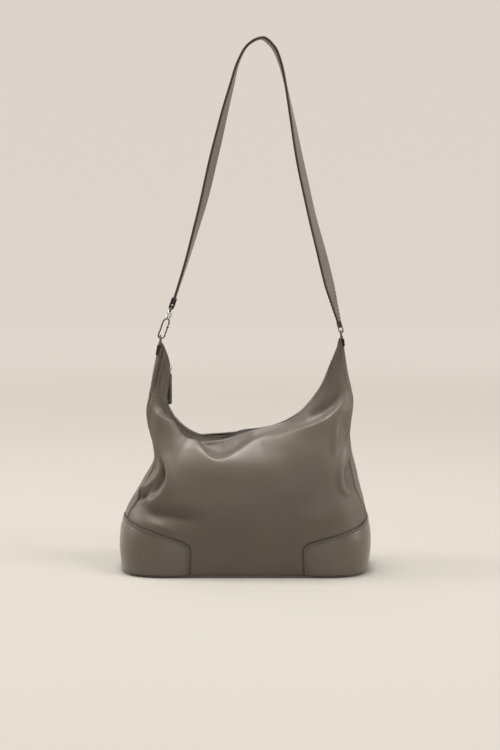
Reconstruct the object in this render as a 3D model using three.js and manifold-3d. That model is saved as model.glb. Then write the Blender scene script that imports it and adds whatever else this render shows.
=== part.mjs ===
// Slouchy leather hobo bag: two horns rise from the ends of a zipped mouth, and one long strap
// joins them, sewn to a ring at the right and clipped to a ring at the left.
// Millimetres, +Z up, +X to the bag's right-hand horn, the front faces -Y.
// The origin is the centre of the flat base, on the surface that the bag stands on.

import * as THREE from 'three';
import { mergeVertices } from 'three/addons/utils/BufferGeometryUtils.js';
import Module from 'manifold-3d';

const wasm = await Module();
wasm.setup();

// ---------------------------------------------------------------- driving dimensions
const GAP = 0.35; // clearance between pieces that touch
const BASE_WIDTH = 364;
const BASE_DEPTH = 150;
const BASE_CORNER = 55; // plan radius of the base's corners
const BASE_THICK = 3;
const BOARD_THICK = 2.5;
const LEATHER = 2.4; // wall of the body, leather and backing
const BOOT_LEATHER = 3; // the boots are firmer
const FACING_THICK = 1;
const LINING_THICK = 1;
const LINING_DEPTH = 4.1; // below the outer surface

const MOUTH_HALF_END = 2.6; // half the gap between the rows of teeth at the horns
const MOUTH_HALF_MID = 8; // and in the middle of the mouth

const RING_RADIUS = 9; // to the middle of the wire
const RING_WIRE = 1.15; // wire radius
const LEFT_RING = new THREE.Vector3(-123.4, 0, 333.8);
const RIGHT_RING = new THREE.Vector3(140.5, 0, 343);

const STOP_HALF = 3.2;
const ZIP_CENTRE = new THREE.Vector3(-42, 0, 268); // the slider's run is an arc about this point
const ZIP_RADIUS = 76;
const SLIDER_ANGLE = 158.4; // where the slider is parked, degrees from +X
const TEETH_START = 164;
const ZIP_ARC_END = 300; // the teeth leave the arc here

const STRAP_WIDTH = 24;
const STRAP_THICK = 3.4;
const TAB_WIDTH = 11;
const TAB_THICK = 1.8;

const HOOK_LEAN = 19.7; // degrees off the vertical
const HOOK_TURN = 45; // how far the oblong is swivelled from facing the front
const EYE_CENTRE = new THREE.Vector3(-107, 0, 385);
const HOOK_WIRE = 1.1;
const HOOK_HALF_WIDTH = 6;
const HOOK_BOTTOM = 48.2; // distances below the eye's bar
const HOOK_TOP = 18.6;
const COLLAR_TOP = 8.4;
const COLLAR_BOTTOM = 16.6;
const COLLAR_RADIUS = 4.2;
const POST_RADIUS = 1.7;
const EYE_WIRE = 1.3;
const EYE_HALF_WIDTH = 13.8;
const EYE_DROP = 6;

const degrees = THREE.MathUtils.degToRad;

// ---------------------------------------------------------------- finishes
function finish(color, roughness, metalness) {
  return () => new THREE.MeshStandardMaterial({ color, roughness, metalness });
}
const taupeLeather = finish(0x635849, 0.5, 0);
const bootLeather = finish(0x655a49, 0.42, 0);
const strapLeather = finish(0x71665a, 0.5, 0);
const darkLeather = finish(0x241d18, 0.5, 0);
const liningCloth = finish(0x4a4036, 0.9, 0);
const tapeCloth = finish(0x3a3129, 0.9, 0);
const greyBoard = finish(0x8c8478, 0.9, 0);
const darkNickel = finish(0x3c3a38, 0.3, 1);
const paleNickel = finish(0xb9b6b0, 0.28, 1);

// ---------------------------------------------------------------- solids and booleans
function toSolid(geometry) {
  const plain = geometry.index ? geometry.clone() : geometry;
  plain.deleteAttribute('normal');
  plain.deleteAttribute('uv');
  const merged = mergeVertices(plain, 1e-4);
  return new wasm.Manifold(new wasm.Mesh({
    numProp: 3,
    vertProperties: Float32Array.from(merged.attributes.position.array),
    triVerts: Uint32Array.from(merged.index.array),
  }));
}

function toGeometry(solid) {
  const mesh = solid.getMesh();
  const geometry = new THREE.BufferGeometry();
  geometry.setAttribute('position', new THREE.BufferAttribute(mesh.vertProperties, 3));
  geometry.setIndex(new THREE.BufferAttribute(mesh.triVerts, 1));
  geometry.computeVertexNormals();
  return geometry;
}

function join(...geometries) {
  return toGeometry(geometries.map(toSolid).reduce((a, b) => a.add(b)));
}

function cut(geometry, ...tools) {
  return toGeometry(tools.map(toSolid).reduce((a, b) => a.subtract(b), toSolid(geometry)));
}

function common(geometry, tool) {
  return toGeometry(toSolid(geometry).intersect(toSolid(tool)));
}

// A closed solid between two grids of points with the same rows and columns.
// grid(i, j, side) gives a point; side 0 is the outer face and side 1 the inner one.
function solidFromGrids(columns, rows, grid, closedLoop = false) {
  const points = [];
  const faces = [];
  const across = closedLoop ? columns : columns + 1;
  const index = (i, j, side) => (side * (rows + 1) + j) * across + (i % across);
  for (const side of [0, 1]) {
    for (let j = 0; j <= rows; j += 1) {
      for (let i = 0; i < across; i += 1) {
        points.push(...grid(i, j, side).toArray());
      }
    }
  }
  const quad = (a, b, c, d) => faces.push(a, b, c, a, c, d);
  for (let j = 0; j < rows; j += 1) {
    for (let i = 0; i < columns; i += 1) {
      quad(index(i, j, 0), index(i + 1, j, 0), index(i + 1, j + 1, 0), index(i, j + 1, 0));
      quad(index(i, j, 1), index(i, j + 1, 1), index(i + 1, j + 1, 1), index(i + 1, j, 1));
    }
  }
  for (let i = 0; i < columns; i += 1) {
    quad(index(i, 0, 0), index(i, 0, 1), index(i + 1, 0, 1), index(i + 1, 0, 0));
    quad(index(i, rows, 0), index(i + 1, rows, 0), index(i + 1, rows, 1), index(i, rows, 1));
  }
  if (!closedLoop) {
    for (let j = 0; j < rows; j += 1) {
      quad(index(0, j, 0), index(0, j + 1, 0), index(0, j + 1, 1), index(0, j, 1));
      quad(index(columns, j, 0), index(columns, j, 1),
        index(columns, j + 1, 1), index(columns, j + 1, 0));
    }
  }
  const geometry = new THREE.BufferGeometry();
  geometry.setAttribute('position', new THREE.Float32BufferAttribute(points, 3));
  geometry.setIndex(faces);
  geometry.computeVertexNormals();
  return facingOut(geometry);
}

// Turns a closed geometry the right way out: its signed volume has to be positive.
function facingOut(geometry) {
  const position = geometry.attributes.position;
  const index = geometry.index.array;
  const corner = [new THREE.Vector3(), new THREE.Vector3(), new THREE.Vector3()];
  let volume = 0;
  for (let k = 0; k < index.length; k += 3) {
    corner.forEach((c, n) => c.fromBufferAttribute(position, index[k + n]));
    volume += corner[0].dot(corner[1].clone().cross(corner[2]));
  }
  if (volume < 0) {
    for (let k = 0; k < index.length; k += 3) {
      [index[k + 1], index[k + 2]] = [index[k + 2], index[k + 1]];
    }
    geometry.computeVertexNormals();
  }
  return geometry;
}

// A flat outline, extruded along Z from z0 to z1.
function plate(shape, z0, z1, curveSegments = 8) {
  const options = { depth: z1 - z0, bevelEnabled: false, curveSegments };
  return new THREE.ExtrudeGeometry(shape, options).translate(0, 0, z0);
}

function shapeOf(points) {
  return new THREE.Shape(points.map(([x, y]) => new THREE.Vector2(x, y)));
}

// An outline drawn in X and Z, extruded along Y from y0 to y1.
function plateXZ(points, y0, y1) {
  const geometry = plate(shapeOf(points), -y1, -y0);
  return geometry.rotateX(Math.PI / 2);
}

function roundedRectangle(width, depth, radius) {
  const shape = new THREE.Shape();
  const x = width / 2;
  const y = depth / 2;
  shape.moveTo(-x + radius, -y);
  shape.lineTo(x - radius, -y);
  shape.absarc(x - radius, -y + radius, radius, -Math.PI / 2, 0);
  shape.lineTo(x, y - radius);
  shape.absarc(x - radius, y - radius, radius, 0, Math.PI / 2);
  shape.lineTo(-x + radius, y);
  shape.absarc(-x + radius, y - radius, radius, Math.PI / 2, Math.PI);
  shape.lineTo(-x, -y + radius);
  shape.absarc(-x + radius, -y + radius, radius, Math.PI, 1.5 * Math.PI);
  return shape;
}

function cylinderAlong(axis, radius, length, segments = 16) {
  const geometry = new THREE.CylinderGeometry(radius, radius, length, segments);
  if (axis === 'x') {
    geometry.rotateZ(Math.PI / 2);
  } else if (axis === 'z') {
    geometry.rotateX(Math.PI / 2);
  }
  return geometry;
}

function boxAt(x0, x1, y0, y1, z0, z1) {
  const geometry = new THREE.BoxGeometry(x1 - x0, y1 - y0, z1 - z0);
  return geometry.translate((x0 + x1) / 2, (y0 + y1) / 2, (z0 + z1) / 2);
}

// A round wire along a path of straight stretches and corners.
function wire(points, radius, steps, closed = false, sides = 8) {
  const path = new THREE.CatmullRomCurve3(points, closed, 'centripetal');
  const section = new THREE.Shape().absarc(0, 0, radius, 0, 2 * Math.PI);
  const options = { steps, bevelEnabled: false, extrudePath: path, curveSegments: sides / 2 };
  return new THREE.ExtrudeGeometry(section, options);
}

// ---------------------------------------------------------------- the body's surface
// Ribs of the front half, from the middle of the right end round the front to the middle of the
// left end. Each climbs from the base, past the boots and the shoulder fold, to the mouth's rim.
const RIBS = [
  [[182, 0, 3.4], [183, 0, 42], [178, 0, 88], [167, 0, 134], [155, 0, 190], [153, 0, 255],
    [142, 0, 330]], // middle of the right end, up to the right horn's tip
  [[179, -38, 3.4], [180, -38, 42], [175, -36, 87], [162, -33, 130], [151, -25, 188],
    [150, -15, 252], [140, -5, 328]], // right seam
  [[160, -64, 3.4], [162, -65, 42], [158, -61, 87], [149, -54, 130], [142, -41, 186],
    [141, -21, 248], [135, -7, 322]],
  [[127, -75, 3.4], [129, -78, 42], [128, -77, 87], [127, -69, 130], [126, -51, 184],
    [127, -26, 240], [124, -9, 302]],
  [[85, -75, 3.4], [86, -79, 42], [88, -80, 87], [92, -76, 130], [98, -62, 177],
    [104, -34, 220], [109, -10, 268]],
  [[42, -75, 3.4], [43, -79, 42], [45, -81, 87], [48, -78, 128], [54, -63, 170],
    [60, -38, 200], [68, -12, 223]],
  [[0, -75, 3.4], [0, -79, 42], [0, -82, 87], [1, -77, 125], [4, -64, 160],
    [7, -40, 186], [10, -14, 205]], // middle of the front
  [[-45, -75, 3.4], [-45, -79, 42], [-46, -81, 87], [-46, -75, 122], [-46, -62, 152],
    [-45, -39, 175], [-43, -14, 193]],
  [[-90, -75, 3.4], [-90, -78, 42], [-90, -77, 87], [-90, -69, 125], [-90, -54, 157],
    [-90, -33, 181], [-88, -12, 197]],
  [[-127, -75, 3.4], [-129, -77, 42], [-127, -70, 86], [-118, -58, 128], [-113, -43, 166],
    [-116, -26, 202], [-116, -10, 236]],
  [[-160, -64, 3.4], [-162, -64, 42], [-154, -57, 85], [-134, -46, 127], [-124, -34, 168],
    [-129, -20, 216], [-117, -8, 282]],
  [[-179, -38, 3.4], [-179, -38, 42], [-169, -36, 84], [-146, -31, 126], [-132, -24, 170],
    [-138, -15, 228], [-119, -6, 311]], // left seam
  [[-182, 0, 3.4], [-183, 0, 42], [-176, 0, 85], [-152, 0, 130], [-134, 0, 172],
    [-144, 0, 240], [-125, 0, 320]], // middle of the left end, up to the left horn's tip
].map((rib) => rib.map((p) => new THREE.Vector3(...p)));

const LAST_RIB = RIBS.length - 1;
const RIGHT_SEAM = 1 / LAST_RIB;
const LEFT_SEAM = 1 - 1 / LAST_RIB;

// Rib k, where a rib past either end is the mirror image of one on the front.
function ribPoint(k, row) {
  const inside = Math.min(Math.max(row, 0), RIBS[0].length - 1);
  if (k < 0) {
    return RIBS[-k][inside].clone().multiply(new THREE.Vector3(1, -1, 1));
  }
  if (k > LAST_RIB) {
    return RIBS[2 * LAST_RIB - k][inside].clone().multiply(new THREE.Vector3(1, -1, 1));
  }
  return RIBS[k][inside].clone();
}

function catmull(p0, p1, p2, p3, t) {
  const a = p1.clone().multiplyScalar(2);
  const b = p2.clone().sub(p0).multiplyScalar(t);
  const c = p0.clone().multiplyScalar(2).addScaledVector(p1, -5).addScaledVector(p2, 4).sub(p3);
  const d = p1.clone().multiplyScalar(3).addScaledVector(p2, -3).add(p3).sub(p0);
  return a.add(b).addScaledVector(c, t * t).addScaledVector(d, t * t * t).multiplyScalar(0.5);
}

// A point of the outer surface. u runs from 0 in the middle of the right end to 1 in the middle of
// the left end round the front, and from 0 to -1 round the back. v climbs from the base to the rim.
function surfacePoint(u, v) {
  let around = u;
  if (around > 1) {
    around -= 2;
  } else if (around < -1) {
    around += 2;
  }
  const ribs = Math.abs(around) * LAST_RIB;
  const k = Math.min(Math.floor(ribs), LAST_RIB - 1);
  const rows = v * (RIBS[0].length - 1);
  const j = Math.min(Math.max(Math.floor(rows), 0), RIBS[0].length - 2);
  const column = [-1, 0, 1, 2].map((step) => {
    const line = [-1, 0, 1, 2].map((n) => ribPoint(k + n, j + step));
    return catmull(...line, ribs - k);
  });
  const point = catmull(...column, rows - j);
  if (around < 0) {
    point.y = -point.y;
  }
  return point;
}

// Direction out of the bag at a point of the surface.
function surfaceNormal(u, v) {
  const d = 0.002;
  const along = surfacePoint(u + d, v).sub(surfacePoint(u - d, v));
  const up = surfacePoint(u, Math.min(v + d, 1)).sub(surfacePoint(u, Math.max(v - d, 0)));
  return up.cross(along).normalize();
}

// A patch of the surface with a wall from depth outer to depth inner below it.
function wallPatch({ u0, u1, v0, v1, outer, inner, columns, rows, closedLoop = false }) {
  const grid = (i, j, side) => {
    const u = u0 + ((u1 - u0) * i) / columns;
    const v = v0 + ((v1 - v0) * j) / rows;
    const depth = side === 0 ? outer : inner;
    return surfacePoint(u, v).addScaledVector(surfaceNormal(u, v), -depth);
  };
  return solidFromGrids(columns, rows, grid, closedLoop);
}

// ---------------------------------------------------------------- boots
// Outline of a boot seen from the front, grown by a margin: it rises from the base beside the
// front's middle, turns outward at a rounded corner and climbs to the end of the bag.
function bootOutline(side, margin) {
  const inner = side > 0 ? 87 : 82;
  const end = side > 0 ? 84 : 87;
  return [
    [side * (inner - margin), -20],
    [side * (inner - 3 - margin), 40],
    [side * (inner - 1 - margin), 46 + margin],
    [side * (inner + 5), 50 + margin],
    [side * 122, 60 + margin],
    [side * 158, 72 + margin],
    [side * 169, 79 + margin],
    [side * 177, end + margin],
    [side * 230, end + margin],
    [side * 230, -20],
  ];
}

function bootTool(side, margin) {
  return plateXZ(bootOutline(side, margin), -120, 120);
}

function boot(side) {
  const middle = side > 0 ? 0 : 1;
  const patch = wallPatch({
    u0: middle - 0.42,
    u1: middle + 0.42,
    v0: 0,
    v1: 0.4,
    outer: -0.5,
    inner: BOOT_LEATHER - 0.6,
    columns: 24,
    rows: 4,
  });
  return common(patch, bootTool(side, 0));
}

// ---------------------------------------------------------------- body panels
function withoutBoots(geometry) {
  return cut(geometry, bootTool(1, GAP), bootTool(-1, GAP));
}

function bodyPanel(face) {
  const seamGap = 0.0016;
  return withoutBoots(wallPatch({
    u0: face * (RIGHT_SEAM + seamGap),
    u1: face * (LEFT_SEAM - seamGap),
    v0: 0,
    v1: 1,
    outer: 0,
    inner: LEATHER,
    columns: 26,
    rows: 11,
  }));
}

function gusset(side) {
  const middle = side > 0 ? 0 : 1;
  const half = 1 / LAST_RIB - 0.0016;
  return withoutBoots(wallPatch({
    u0: middle - half,
    u1: middle + half,
    v0: 0,
    v1: 1,
    outer: 0,
    inner: LEATHER,
    columns: 6,
    rows: 11,
  }));
}

function liningBag() {
  const wall = wallPatch({
    u0: -1,
    u1: 1,
    v0: 0.03,
    v1: 0.84,
    outer: LINING_DEPTH,
    inner: LINING_DEPTH + LINING_THICK,
    columns: 40,
    rows: 8,
    closedLoop: true,
  });
  const inset = 2 * (LINING_DEPTH + LINING_THICK / 2);
  const floorZ = BASE_THICK + BOARD_THICK + 2 * GAP;
  const outline = roundedRectangle(BASE_WIDTH - inset, BASE_DEPTH - inset, BASE_CORNER - inset / 2);
  const edge = roundedRectangle(BASE_WIDTH - inset - 3, BASE_DEPTH - inset - 3, BASE_CORNER - 6);
  const hem = cut(plate(outline, floorZ, floorZ + 6), plate(edge, floorZ + 1, floorZ + 7));
  return join(wall, hem);
}

function pocket() {
  return wallPatch({
    u0: -0.66,
    u1: -0.38,
    v0: 0.22,
    v1: 0.56,
    outer: LINING_DEPTH + 1.9 * LINING_THICK,
    inner: LINING_DEPTH + 2.9 * LINING_THICK,
    columns: 8,
    rows: 5,
  });
}

// ---------------------------------------------------------------- zip
function zipArcPoint(angle, radius = ZIP_RADIUS) {
  const a = degrees(angle);
  return new THREE.Vector3(Math.cos(a), 0, Math.sin(a)).multiplyScalar(radius).add(ZIP_CENTRE);
}

// The line of the teeth: the arc that the slider runs on, then along the mouth to the right horn.
const TEETH_LINE = new THREE.CatmullRomCurve3([
  ...[TEETH_START, 181, 198, 215, 232, 249, 266, 283, ZIP_ARC_END].map((a) => zipArcPoint(a)),
  new THREE.Vector3(30, 0, 212),
  new THREE.Vector3(62, 0, 226),
  new THREE.Vector3(90, 0, 248),
  new THREE.Vector3(109, 0, 276),
  new THREE.Vector3(122, 0, 303),
], false, 'centripetal');

function mouthHalf(t) {
  return MOUTH_HALF_END + (MOUTH_HALF_MID - MOUTH_HALF_END) * Math.sin(Math.PI * t) ** 1.5;
}

// Side of the line that faces out of the bag, across the teeth line.
function zipOut(t) {
  const tangent = TEETH_LINE.getTangentAt(t);
  return new THREE.Vector3(-tangent.z, 0, tangent.x).normalize();
}

// A strip beside the teeth: near and far are its distances from the teeth, deep its drop.
function zipStrip(face, { near, far, top, bottom, deep }) {
  const columns = 32;
  const grid = (i, j, side) => {
    const t = i / columns;
    const out = zipOut(t);
    const reach = j === 0 ? near : far(t);
    const level = (side === 0 ? top : bottom) - (j === 0 ? 0 : deep);
    const point = TEETH_LINE.getPointAt(t).addScaledVector(out, level);
    point.y = face * (mouthHalf(t) + reach);
    return point;
  };
  return solidFromGrids(columns, 1, grid);
}

function zipTeeth(face) {
  return zipStrip(face, { near: 0, far: () => 2, top: 1, bottom: -1, deep: 0 });
}

function zipTape(face) {
  return zipStrip(face, { near: 2 + GAP, far: () => 2.8, top: 0.4, bottom: -0.4, deep: 2 });
}

function zipFacing(face) {
  return wallPatch({
    u0: face * 0.22,
    u1: face * 0.76,
    v0: 0.87,
    v1: 0.985,
    outer: LEATHER + 2.6 * GAP,
    inner: LEATHER + 2.6 * GAP + FACING_THICK,
    columns: 24,
    rows: 2,
  });
}

// A small metal block across both tapes, at the end of the run.
function zipStop(x, z, lean) {
  const block = boxAt(-1.4, 1.4, -STOP_HALF, STOP_HALF, -1.6, 1.6);
  return block.rotateY(degrees(-lean)).translate(x, 0, z);
}

// The slider in its own frame: X along the run, Y across the mouth, Z out of the bag.
function slider() {
  const deck = shapeOf([[-5.5, -2.6], [-2, -4.3], [4.5, -4.3], [5.5, -3], [5.5, 3], [4.5, 4.3],
    [-2, 4.3], [-5.5, 2.6]]);
  const arch = shapeOf([[-4, 0], [-4, 2.4], [-2.6, 3.6], [2.6, 3.6], [4, 2.4], [4, 0], [2.6, 0],
    [2.6, 2.1], [-2.6, 2.1], [-2.6, 0]]);
  const bridge = plate(arch, -0.9, 0.9).rotateX(Math.PI / 2).translate(0, 0, 2.6);
  return join(plate(deck, 1.7, 2.8), plate(deck, -2.8, -1.7), boxAt(2, 5, -1, 1, -2, 2), bridge);
}

const PULL_PIVOT = zipArcPoint(SLIDER_ANGLE, ZIP_RADIUS - 3.6);

// A wire loop that hangs from the slider's bridge, with its top bar on the pivot.
function pullLink() {
  const half = 3.6;
  const drop = 9;
  const corner = 1.2;
  const bow = 0.25; // the wire bows this far above its two top points
  const points = [
    [-half + corner, -bow], [half - corner, -bow], [half, -corner], [half, -drop + corner],
    [half - corner, -drop], [-half + corner, -drop], [-half, -drop + corner], [-half, -corner],
  ].map(([y, z]) => new THREE.Vector3(0, y, z));
  return wire(points, 0.6, 24, true, 6);
}

function pullTab() {
  const outline = roundedRectangle(12, 42, 3);
  const slab = plate(outline, -1.6, 1.6, 3);
  return slab.rotateX(Math.PI / 2).rotateZ(Math.PI / 2).translate(0, 0, -9.6 - GAP - 21);
}

// ---------------------------------------------------------------- flat bands
// A flat band along a curve. across(t) is the direction of its width.
function band(curve, width, thickness, steps, across, narrow = () => 1) {
  const grid = (i, j, side) => {
    const t = i / steps;
    const tangent = curve.getTangentAt(t);
    const wide = across(t);
    wide.addScaledVector(tangent, -wide.dot(tangent)).normalize();
    const face = tangent.clone().cross(wide);
    const point = curve.getPointAt(t);
    point.addScaledVector(wide, (j === 0 ? -0.5 : 0.5) * width * narrow(t));
    return point.addScaledVector(face, (side === 0 ? 0.5 : -0.5) * thickness);
  };
  return solidFromGrids(steps, 1, grid);
}

const STRAP_LINE = new THREE.CatmullRomCurve3([
  [-105.5, 389.2], [-101.6, 400.1], [-84, 455], [-61, 535], [-41, 618], [-21, 697], [-9, 738],
  [5, 761], [25, 770], [41, 757], [50, 737], [60, 697], [76, 612], [93, 533], [113, 455],
  [130, 389], [135.8, 367.4], [138.9, 356.4],
].map(([x, z]) => new THREE.Vector3(x, 0, z)), false, 'centripetal');

// How far the strap's width turns from Y: edge on at both ends and at the top.
function strapTurn(t) {
  const leg = Math.sin(2 * Math.PI * Math.abs(t - 0.5)) ** 2;
  return degrees(27 * leg - 8 * Math.exp(-(((t - 0.5) / 0.09) ** 2)));
}

function strap() {
  const across = (t) => new THREE.Vector3(Math.sin(strapTurn(t)), Math.cos(strapTurn(t)), 0);
  const narrow = (t) => 1 - 0.6 * THREE.MathUtils.smoothstep(t, 0.955, 1);
  return band(STRAP_LINE, STRAP_WIDTH, STRAP_THICK, 56, across, narrow);
}

// Leather folded round a bar at the origin, with its two legs rising beside the strap's end.
function chape(inner, leather, length, width) {
  const outer = inner + leather;
  const shape = new THREE.Shape();
  shape.moveTo(-outer, length);
  shape.lineTo(-outer, 0);
  shape.absarc(0, 0, outer, Math.PI, 2 * Math.PI);
  shape.lineTo(outer, length);
  shape.lineTo(inner, length);
  shape.lineTo(inner, 0);
  shape.absarc(0, 0, inner, 0, -Math.PI, true);
  shape.lineTo(-inner, length);
  return plate(shape, -width / 2, width / 2, 6).rotateX(Math.PI / 2);
}

// A tab over a ring's lower wire: a short inner leg, and an outer leg down the horn.
function hornTab(side) {
  const ring = side > 0 ? RIGHT_RING : LEFT_RING;
  const middle = side > 0 ? 0 : 1;
  const overWire = RING_WIRE + 2.6 * GAP + TAB_THICK / 2;
  const bottom = ring.z - RING_RADIUS;
  const clear = GAP + TAB_THICK / 2;
  const outerLeg = [0.985, 0.965, 0.945, 0.925].map((v) => surfacePoint(middle, v)
    .addScaledVector(surfaceNormal(middle, v), clear));
  const over = [180, 145, 90, 35].map((a) => new THREE.Vector3(
    ring.x + side * overWire * Math.cos(degrees(a)), 0,
    bottom + overWire * Math.sin(degrees(a))));
  const line = new THREE.CatmullRomCurve3([
    new THREE.Vector3(ring.x - side * 5, 0, bottom - 9),
    ...over,
    ...outerLeg,
  ], false, 'centripetal');
  const narrow = (t) => 0.5 + 0.5 * THREE.MathUtils.smoothstep(t, 0.45, 0.7);
  return band(line, TAB_WIDTH, TAB_THICK, 28, () => new THREE.Vector3(0, 1, 0), narrow);
}

function ring(centre) {
  const geometry = new THREE.TorusGeometry(RING_RADIUS, RING_WIRE, 6, 26);
  const tilt = Math.atan2(RIGHT_RING.z - LEFT_RING.z, RIGHT_RING.x - LEFT_RING.x);
  return geometry.rotateY(Math.PI / 2 - tilt).translate(centre.x, centre.y, centre.z);
}

// ---------------------------------------------------------------- hook
// In the hook's frame the eye's bar lies at the origin along Y and the hook hangs down -Z.
function hookLine(points) {
  return points.map(([x, drop]) => new THREE.Vector3(x, 0, -drop));
}

function hookBody() {
  const w = HOOK_HALF_WIDTH;
  const arch = 6;
  const frame = wire(hookLine([
    [w, HOOK_TOP + arch + 3.2], [w, HOOK_TOP + arch], [w * 0.7, HOOK_TOP + 1.8], [0, HOOK_TOP],
    [-w * 0.7, HOOK_TOP + 1.8], [-w, HOOK_TOP + arch], [-w, 35], [-w, HOOK_BOTTOM - 2.4],
    [-w + 2.4, HOOK_BOTTOM], [w - 2.4, HOOK_BOTTOM], [w, HOOK_BOTTOM - 2.4], [w, 42.6],
  ]), HOOK_WIRE, 40, false, 6);
  const length = COLLAR_BOTTOM - COLLAR_TOP;
  const middle = -(COLLAR_TOP + COLLAR_BOTTOM) / 2;
  const collar = cylinderAlong('z', COLLAR_RADIUS, length, 20).translate(0, 0, middle);
  const neck = cylinderAlong('z', 2.6, 4, 12).translate(0, 0, -COLLAR_BOTTOM - 0.6);
  const bore = cylinderAlong('z', POST_RADIUS + GAP, 7, 16).translate(0, 0, -COLLAR_TOP - 2);
  return cut(join(frame, collar, neck), bore);
}

function hookGate() {
  const top = HOOK_TOP + 6 + 3.2 + HOOK_WIRE + GAP;
  const line = hookLine([[HOOK_HALF_WIDTH, top], [HOOK_HALF_WIDTH, 36], [HOOK_HALF_WIDTH, 42.2]]);
  const eye = cylinderAlong('y', 1.9, 2.2, 14).translate(HOOK_HALF_WIDTH, 0, -top - 1);
  const hole = cylinderAlong('y', 0.6 + GAP, 4, 12).translate(HOOK_HALF_WIDTH, 0, -top - 1);
  return cut(join(wire(line, HOOK_WIRE - 0.1, 4, false, 8), eye), hole);
}

const GATE_PIVOT_DROP = HOOK_TOP + 6 + 3.2 + HOOK_WIRE + GAP + 1;

function gatePin() {
  return cylinderAlong('y', 0.6, 3.4, 10).translate(HOOK_HALF_WIDTH, 0, -GATE_PIVOT_DROP);
}

function swivelRivet() {
  const y = -COLLAR_RADIUS - GAP - 0.45;
  const z = -(COLLAR_TOP + COLLAR_BOTTOM) / 2 - 0.4;
  return cylinderAlong('y', 2.1, 0.9, 16).translate(0, y, z);
}

function swivelEye() {
  const y = EYE_HALF_WIDTH;
  const c = 1.6;
  const loop = wire([
    [-y + c, 0], [y - c, 0], [y, -c], [y, -EYE_DROP + c], [y - c, -EYE_DROP],
    [-y + c, -EYE_DROP], [-y, -EYE_DROP + c], [-y, -c],
  ].map(([a, z]) => new THREE.Vector3(0, a, z)), EYE_WIRE, 28, true, 6);
  const post = cylinderAlong('z', POST_RADIUS, 7, 14).translate(0, 0, -EYE_DROP - 3.5);
  return join(loop, post);
}

// ---------------------------------------------------------------- assembly
function piece(name, geometry, material) {
  const mesh = new THREE.Mesh(geometry, material());
  mesh.name = name;
  return mesh;
}

function basePieces() {
  const group = new THREE.Group();
  const base = roundedRectangle(BASE_WIDTH, BASE_DEPTH, BASE_CORNER);
  const inset = LEATHER + GAP + 1.4;
  const board = roundedRectangle(BASE_WIDTH - 2 * inset, BASE_DEPTH - 2 * inset,
    BASE_CORNER - inset);
  const boardZ = BASE_THICK + GAP;
  group.add(piece('base_panel', plate(base, 0, BASE_THICK), bootLeather));
  group.add(piece('base_board', plate(board, boardZ, boardZ + BOARD_THICK), greyBoard));
  return group;
}

function bodyPieces() {
  const group = new THREE.Group();
  group.add(piece('front_panel', bodyPanel(1), taupeLeather));
  group.add(piece('back_panel', bodyPanel(-1), taupeLeather));
  group.add(piece('right_gusset', gusset(1), taupeLeather));
  group.add(piece('left_gusset', gusset(-1), taupeLeather));
  group.add(piece('right_boot', boot(1), bootLeather));
  group.add(piece('left_boot', boot(-1), bootLeather));
  group.add(piece('lining', liningBag(), liningCloth));
  group.add(piece('slip_pocket', pocket(), liningCloth));
  return group;
}

function zipPieces() {
  const group = new THREE.Group();
  for (const [name, face] of [['front', -1], ['back', 1]]) {
    group.add(piece(`${name}_zip_teeth`, zipTeeth(face), paleNickel));
    group.add(piece(`${name}_zip_tape`, zipTape(face), tapeCloth));
    group.add(piece(`${name}_zip_facing`, zipFacing(-face), taupeLeather));
  }
  group.add(piece('zip_left_stop', zipStop(-114.2, 305, 0), paleNickel));
  group.add(piece('zip_right_stop', zipStop(123.8, 308, -25), paleNickel));

  const runner = piece('zip_slider', slider(), paleNickel);
  runner.position.copy(zipArcPoint(SLIDER_ANGLE));
  // X of the slider's frame follows the arc and Z points at the arc's centre
  const along = new THREE.Vector3(-Math.sin(degrees(SLIDER_ANGLE)), 0,
    Math.cos(degrees(SLIDER_ANGLE)));
  const out = new THREE.Vector3(-Math.cos(degrees(SLIDER_ANGLE)), 0,
    -Math.sin(degrees(SLIDER_ANGLE)));
  const across = out.clone().cross(along);
  runner.setRotationFromMatrix(new THREE.Matrix4().makeBasis(along, across, out));
  group.add(runner);

  const pull = new THREE.Group();
  pull.position.copy(PULL_PIVOT);
  pull.add(piece('pull_link', pullLink(), paleNickel));
  pull.add(piece('pull_tab', pullTab(), darkLeather));
  group.add(pull);
  return group;
}

function strapPieces() {
  const group = new THREE.Group();
  group.add(piece('strap', strap(), strapLeather));
  const turned = piece('right_chape', chape(2.2, 1.5, 16, 7.2), strapLeather);
  const ringTop = RIGHT_RING.clone().add(new THREE.Vector3(-0.3, 0, RING_RADIUS));
  turned.position.copy(ringTop);
  turned.rotation.y = degrees(-16);
  group.add(turned);
  return group;
}

function hookPieces() {
  const group = new THREE.Group();
  group.position.copy(EYE_CENTRE);
  group.rotation.y = degrees(HOOK_LEAN);
  group.add(piece('left_chape', chape(2.1, 2, 12, STRAP_WIDTH - 0.6), strapLeather));
  group.add(piece('swivel_eye', swivelEye(), paleNickel));
  const hook = new THREE.Group();
  hook.rotation.z = degrees(HOOK_TURN);
  hook.add(piece('hook_body', hookBody(), darkNickel));
  hook.add(piece('hook_gate', hookGate(), darkNickel));
  hook.add(piece('hook_gate_pin', gatePin(), darkNickel));
  hook.add(piece('swivel_rivet', swivelRivet().rotateZ(degrees(-HOOK_TURN)), paleNickel));
  group.add(hook);
  return group;
}

function hornPieces() {
  const group = new THREE.Group();
  group.add(piece('left_horn_tab', hornTab(-1), taupeLeather));
  group.add(piece('right_horn_tab', hornTab(1), taupeLeather));
  group.add(piece('left_ring', ring(LEFT_RING), darkNickel));
  group.add(piece('right_ring', ring(RIGHT_RING), darkNickel));
  return group;
}

const bag = new THREE.Group();
bag.add(basePieces(), bodyPieces(), zipPieces(), hornPieces(), hookPieces(), strapPieces());
bag.updateMatrixWorld(true);

export default bag;
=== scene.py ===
"""Looks of a slouchy leather hobo bag: its pieces, their finishes, the studio and the camera."""

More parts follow.
